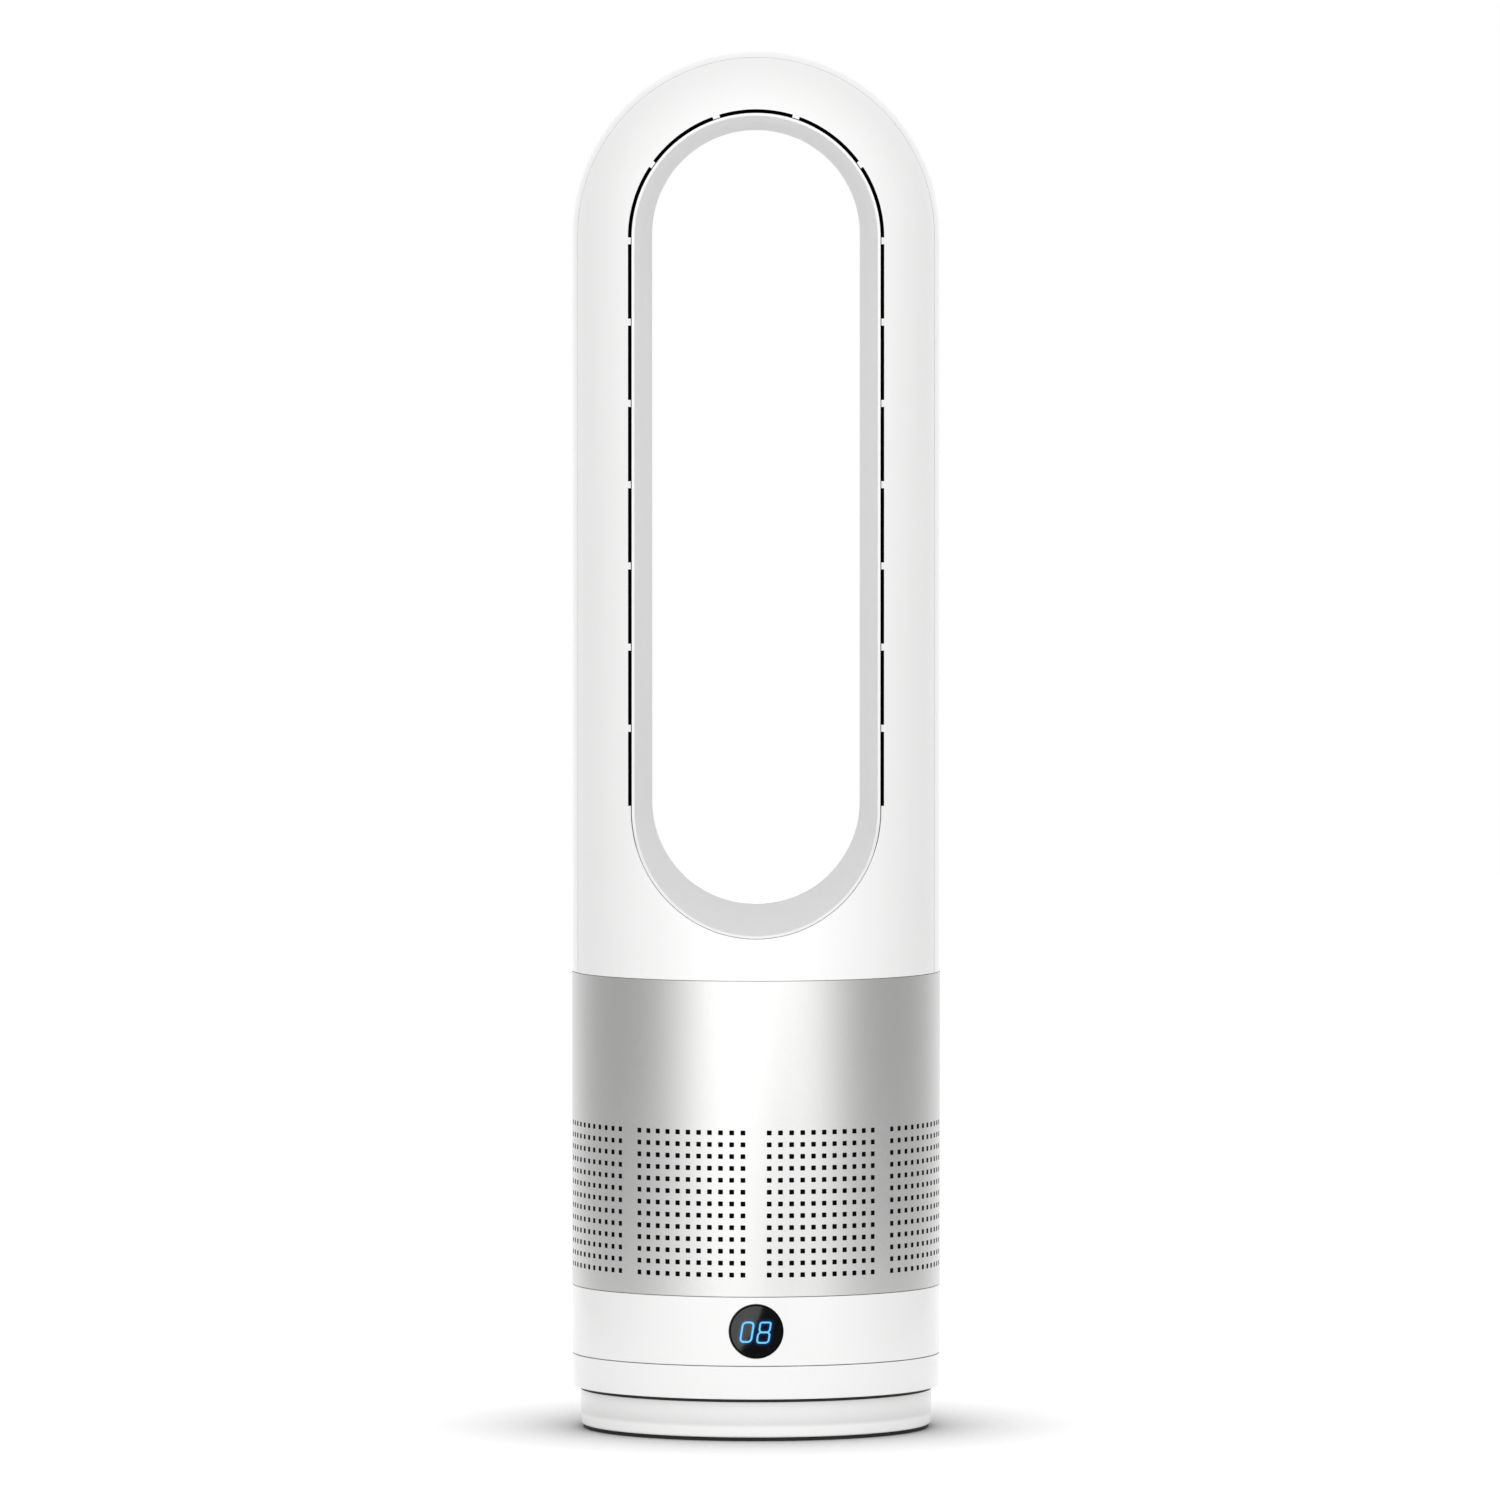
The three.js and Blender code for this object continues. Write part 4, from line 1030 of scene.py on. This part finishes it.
def hardened(piece):
    """Gives a skin its wall, inwards, and trims the walls of its opening square to the front."""
    wall = piece.modifiers.new("wall", "SOLIDIFY")
    wall.thickness = hoop_wall
    wall.offset = -1
    wall.use_even_offset = True
    # The inner faces take the near-black: painted shade for the inside of the hoop, seen through
    # the slots.
    wall.material_offset = 1
    wall.material_offset_rim = 0
    count = len(piece.data.vertices)
    edge_use = {}
    for polygon in piece.data.polygons:
        for key in polygon.edge_keys:
            edge_use[key] = edge_use.get(key, 0) + 1
    rim = {corner for key, uses in edge_use.items() if uses == 1 for corner in key}
    bpy.context.view_layer.update()
    seen = piece.evaluated_get(bpy.context.evaluated_depsgraph_get())
    data = bpy.data.meshes.new_from_object(seen)
    for i in rim:
        outer = data.vertices[i].co
        inner = data.vertices[i + count].co
        rise = max(outer.z - arch_z, 0)
        reach = math.hypot(outer.x, rise)
        if reach < opening_reach and outer.z > hoop_bottom + bottom_rim:
            depth = math.sqrt((body_radius - hoop_wall) ** 2 - reach**2)
            inner.x = outer.x
            inner.z = outer.z
            inner.y = math.copysign(depth, outer.y)
    old = piece.data
    piece.modifiers.clear()
    piece.data = data
    bpy.data.meshes.remove(old)
    eased(piece, hoop_edge)
    # The faces at the seam take the near-black: painted shade for the seam between the shells.
    for polygon in piece.data.polygons:
        off_seam = abs(polygon.center.y - (parting_front + parting_rear) / 2)
        if off_seam < seam_reach and abs(polygon.normal.y) > 0.9:
            polygon.material_index = 1
    shaded_by_curve(piece, round_the_hoop)


def round_the_hoop(point):
    """Direction straight out from the hoop's axis, or from the middle of its dome."""
    return Vector((point.x, point.y, max(point.z - arch_z, 0))).normalized()


slot_edge_angle = math.asin((front_edge + slot_strip) / body_radius)
front_start = math.asin(front_edge / body_radius)
front_end = section_angle(parting_front)
front_steps = 16
edge_slack = 0.0002
front_angles = [front_start, slot_edge_angle]
front_angles += [
    slot_edge_angle + (front_end - slot_edge_angle) * i / front_steps
    for i in range(1, front_steps + 1)
]
front_skin = turned_outwards(hoop_skin(front_angles, front_edge, -1))
slots = []
for cell in front_skin.faces:
    centre = cell.calc_center_median()
    rise = max(centre.z - arch_z, 0)
    reach = math.hypot(centre.x, rise)
    in_strip = front_edge - edge_slack < reach < front_edge + slot_strip
    if rise > 0:
        turn = math.degrees(math.atan2(rise, centre.x))
        in_slot = turn % arch_pitch < arch_pitch - arch_bridge
    else:
        in_slot = any(top - slot_length < centre.z < top for top in slot_tops)
    if in_strip and in_slot:
        slots.append(cell)
bmesh.ops.delete(front_skin, geom=slots, context="FACES")
front_shell = made("hoop_front", front_skin, white_housing, painted_shade_dark)
hardened(front_shell)
fitted(front_shell, "head", "white_housing", "hoop_front_shell")

# ---------------------------------------------------------------------------------------------
# Hoop rear shell: the deeper half of the same hoop, joined to the front one along a fine seam
# ahead of the middle. It is plain, with a round-edged opening for the air that is drawn along.

rear_edge = 0.0688
rear_start = section_angle(parting_rear)
rear_end = math.pi - math.asin(rear_edge / body_radius)
rear_steps = 30
rear_angles = [
    rear_start + (rear_end - rear_start) * i / rear_steps for i in range(rear_steps + 1)
]
rear_skin = turned_outwards(hoop_skin(rear_angles, rear_edge, 1))
rear_shell = made("hoop_rear", rear_skin, white_housing, painted_shade_dark)
hardened(rear_shell)
fitted(rear_shell, "head", "white_housing", "hoop_rear_shell")

# ---------------------------------------------------------------------------------------------
# Nozzle ring: the white tapered wall of the opening. Air leaves the slots over its thin lip and
# follows it back past a crease to the rounded throat. Its wall is 2.3 mm thick.

lip_half_width = 0.0720
land_end = -0.0860
crease_y = -0.0120
crease_half_width = 0.0675
throat_y = 0.0440
throat_half_width = 0.06215
rear_half_width = 0.0662
nozzle_lip = 0.0018
nozzle_wall = 0.0023
lip_depth = -0.0830
lip_setback = 0.0016
taper_depths = [-0.0700, -0.0500, -0.0300]
curve_steps = 14
flare_steps = 8
flare_power = 1.6
lip_round = 0.0007
slot_round = 0.00015
rear_round = 0.0006
arch_steps = 96
lower_arc_steps = 72


def half_width(y):
    """Half of the opening's width at a depth: land, taper, rounded throat and flare."""
    if y < land_end:
        return lip_half_width
    if y < crease_y:
        share = (y - land_end) / (crease_y - land_end)
        return lip_half_width + (crease_half_width - lip_half_width) * share
    if y < throat_y:
        share = (y - crease_y) / (throat_y - crease_y)
        narrowing = crease_half_width - throat_half_width
        return crease_half_width - narrowing * math.sin(share * math.pi / 2)
    rear_y = math.sqrt(body_radius**2 - rear_half_width**2)
    share = (y - throat_y) / (rear_y - throat_y)
    return throat_half_width + (rear_half_width - throat_half_width) * share**flare_power


def wall_at(y):
    """Thickness of the nozzle's wall at a depth."""
    share = min(max((y - land_end) / (crease_y - land_end), 0), 1)
    return nozzle_lip + (nozzle_wall - nozzle_lip) * share


side_front = -on_body(half_width(lip_depth) + nozzle_lip / 2)
side_rear = on_body(rear_half_width + nozzle_wall / 2)
depths = [side_front, side_front + lip_setback] + taper_depths
depths += [crease_y + (throat_y - crease_y) * i / curve_steps for i in range(curve_steps)]
depths += [throat_y + (side_rear - throat_y) * i / flare_steps for i in range(flare_steps + 1)]

nozzle = bmesh.new()
inside = [nozzle.verts.new((half_width(y), y, arch_z)) for y in depths]
outside = [nozzle.verts.new((half_width(y) + wall_at(y), y, arch_z)) for y in reversed(depths)]
nozzle.faces.new(inside + outside)
rounded(nozzle, [inside[0]], lip_round, 4)
rounded(nozzle, [outside[-1]], slot_round, 4)
rounded(nozzle, [inside[-1], outside[0]], rear_round, 4)
bmesh.ops.delete(nozzle, geom=nozzle.faces[:], context="FACES_ONLY")
right = nozzle.verts[:] + nozzle.edges[:]
_, left = swept(nozzle, right, 180, arch_steps, forwards, arch_centre)
for line in (right, left):
    points, edges = drawn_on(nozzle, line)
    for point in points:
        point.co.z = lower_arc_z
low_edges = [
    edge for edge in edges if all(abs(v.co.z - lower_arc_z) < same_place for v in edge.verts)
]
swept(nozzle, points + low_edges, 180, lower_arc_steps, forwards, (0, 0, lower_arc_z))
closed(nozzle)

# The lower arc lies in the round panel, so its front and rear edges are stretched out to that.
for point in nozzle.verts:
    drop = lower_arc_z - point.co.z
    if drop < same_place / 10:
        continue
    reach = math.hypot(point.co.x, drop)
    y = point.co.y
    grown = reach
    if y < crease_y:
        stretch = (on_body(point.co.x) + crease_y) / (crease_y - side_front)
        moved = crease_y + (y - crease_y) * max(stretch, 1)
        grown += half_width(moved) - half_width(y)
    elif y > throat_y:
        stretch = (on_body(point.co.x) - throat_y) / (side_rear - throat_y)
        moved = throat_y + (y - throat_y) * max(stretch, 1)
    else:
        continue
    point.co.x *= grown / reach
    point.co.z = lower_arc_z - drop * grown / reach
    point.co.y = moved

# The nozzle's white is matt, and greyer than the housing's: the grey is painted shade for the dim
# wall of the opening.
shaded_matt_white = Finish("white_matt_abs_painted_shade", Specular_IOR_Level=0.3)
mould_texture = shaded_matt_white.noise(700, 3)
shaded_matt_white.set("Base Color", shaded_matt_white.between((0.79,) * 3, (0.82,) * 3, mould_texture))
shaded_matt_white.set("Roughness", 0.50 + 0.12 * mould_texture)
shaded_matt_white.relief(mould_texture, 0.00001)
nozzle_piece = made("nozzle", nozzle, shaded_matt_white)
fitted(nozzle_piece, "head", "white_housing", "nozzle_ring")

dressed(steel, "hoop_screw_1", "hoop_screw_2", "hoop_screw_3", "hoop_screw_4")

# ---------------------------------------------------------------------------------------------
# Studio: a white floor, and a room that is bright in front, softer behind and grey at the sides,
# so that the silver tube shows its dark flanks. The backdrop is white to the camera, and mirrors
# see the pale room itself. The floor is white to both, and to both it shows a painted shadow
# round the fan, from an occlusion node, over its own soft shadow.

painted_shadow_reach = 0.22
painted_shadow_gain = 1.3
floor_lift = 0.48
floor_half_width = 0.75
floor_half_depth = 4.5
floor_middle = 1.5

floor_finish = Finish("floor", Roughness=0.9, Specular_IOR_Level=0.0)
# Painted shadow: to camera and mirror rays the floor's colour and glow are darkened near the fan by
# an occlusion node.
openness = floor_finish.node(
    "AmbientOcclusion", {"samples": 8}, {"Distance": painted_shadow_reach}, output="AO"
)
seen = floor_finish.node("LightPath", output="Is Camera Ray")
for ray in ("Is Glossy Ray", "Is Transmission Ray"):
    seen = seen.at_least(floor_finish.node("LightPath", output=ray))
shade = (1 - painted_shadow_gain * (1 - openness)).at_least(0)
shade = 1 - seen * (1 - shade)
floor_finish.set("Base Color", floor_finish.between((0,) * 3, (0.93,) * 3, shade))
floor_finish.set("Emission Color", floor_finish.between((0,) * 3, (1,) * 3, shade))
floor_finish.set("Emission Strength", floor_lift * seen)
floor_mesh = bmesh.new()
bmesh.ops.create_grid(floor_mesh, x_segments=8, y_segments=8, size=1)
floor_size = (floor_half_width, floor_half_depth, 1)
bmesh.ops.scale(floor_mesh, vec=floor_size, verts=floor_mesh.verts[:])
bmesh.ops.translate(floor_mesh, vec=(0, floor_middle, 0), verts=floor_mesh.verts[:])
floor = made("floor", floor_mesh, floor_finish)

# A black card lies on the floor in front, out of view. The display's window mirrors it, with a
# lighter corner where its slanting edge ends. Only reflections see it.
card_ink = (0.003, 0.003, 0.003, 1)
card_finish = Finish("black_card", Base_Color=card_ink, Roughness=1.0, Specular_IOR_Level=0.0)
card_corners = ((-0.187, -0.60), (0.45, -0.60), (0.45, -1.40), (0.248, -1.40))
card_height = 0.002
card_mesh = bmesh.new()
card_mesh.faces.new([card_mesh.verts.new((x, y, card_height)) for x, y in card_corners])
bmesh.ops.recalc_face_normals(card_mesh, faces=card_mesh.faces[:])
card = made("black_card", card_mesh, card_finish)
for ray in ("camera", "diffuse", "shadow"):
    setattr(card, "visible_" + ray, False)

side_light = 0.50
back_light = 1.29
front_light = 2.54
top_light = 0.73
front_focus = 1.6
back_focus = 1.5
top_reach = 1.1
never_zero = 0.0001

world = bpy.data.worlds.new("studio")
bpy.context.scene.world = world
world.use_nodes = True


class Room(Finish):
    """The world's node tree, with the same way of adding nodes as a finish."""

    def __init__(self, tree):
        self.tree = tree


room = Room(world.node_tree)
x, y, z = room.split(room.node("TexCoord", output="Generated"))
level_square = x * x + y * y + never_zero
facing = y * y / level_square
in_front = y.maths("LESS_THAN", y, 0.0)
front_glow = facing**front_focus * (front_light - side_light) * in_front
back_glow = facing**back_focus * (back_light - side_light) * (1 - in_front)
level_light = side_light + front_glow + back_glow
above = z.at_least(0) ** top_reach
strength = level_light * (1 - above) + top_light * above
camera_ray = room.node("LightPath", output="Is Camera Ray")
strength = strength * (1 - camera_ray) + camera_ray
background = room.tree.nodes["Background"]
background.inputs["Color"].default_value = (1, 1, 1, 1)
room.tree.links.new(strength.socket, background.inputs["Strength"])

scene = bpy.context.scene
scene.view_settings.view_transform = "Standard"

camera_place = Vector((-0.0036, -10, 0.880))
camera_aim = Vector((-0.0036, 0, 0.40475))
camera_data = bpy.data.cameras.new("camera")
camera_data.lens = 402.45
camera_data.sensor_width = 36
camera_data.clip_end = 100
camera = bpy.data.objects.new("camera", camera_data)
scene.collection.objects.link(camera)
camera.location = camera_place
aim = camera_aim - camera_place
camera.rotation_euler = aim.to_track_quat("-Z", "Y").to_euler()
scene.camera = camera
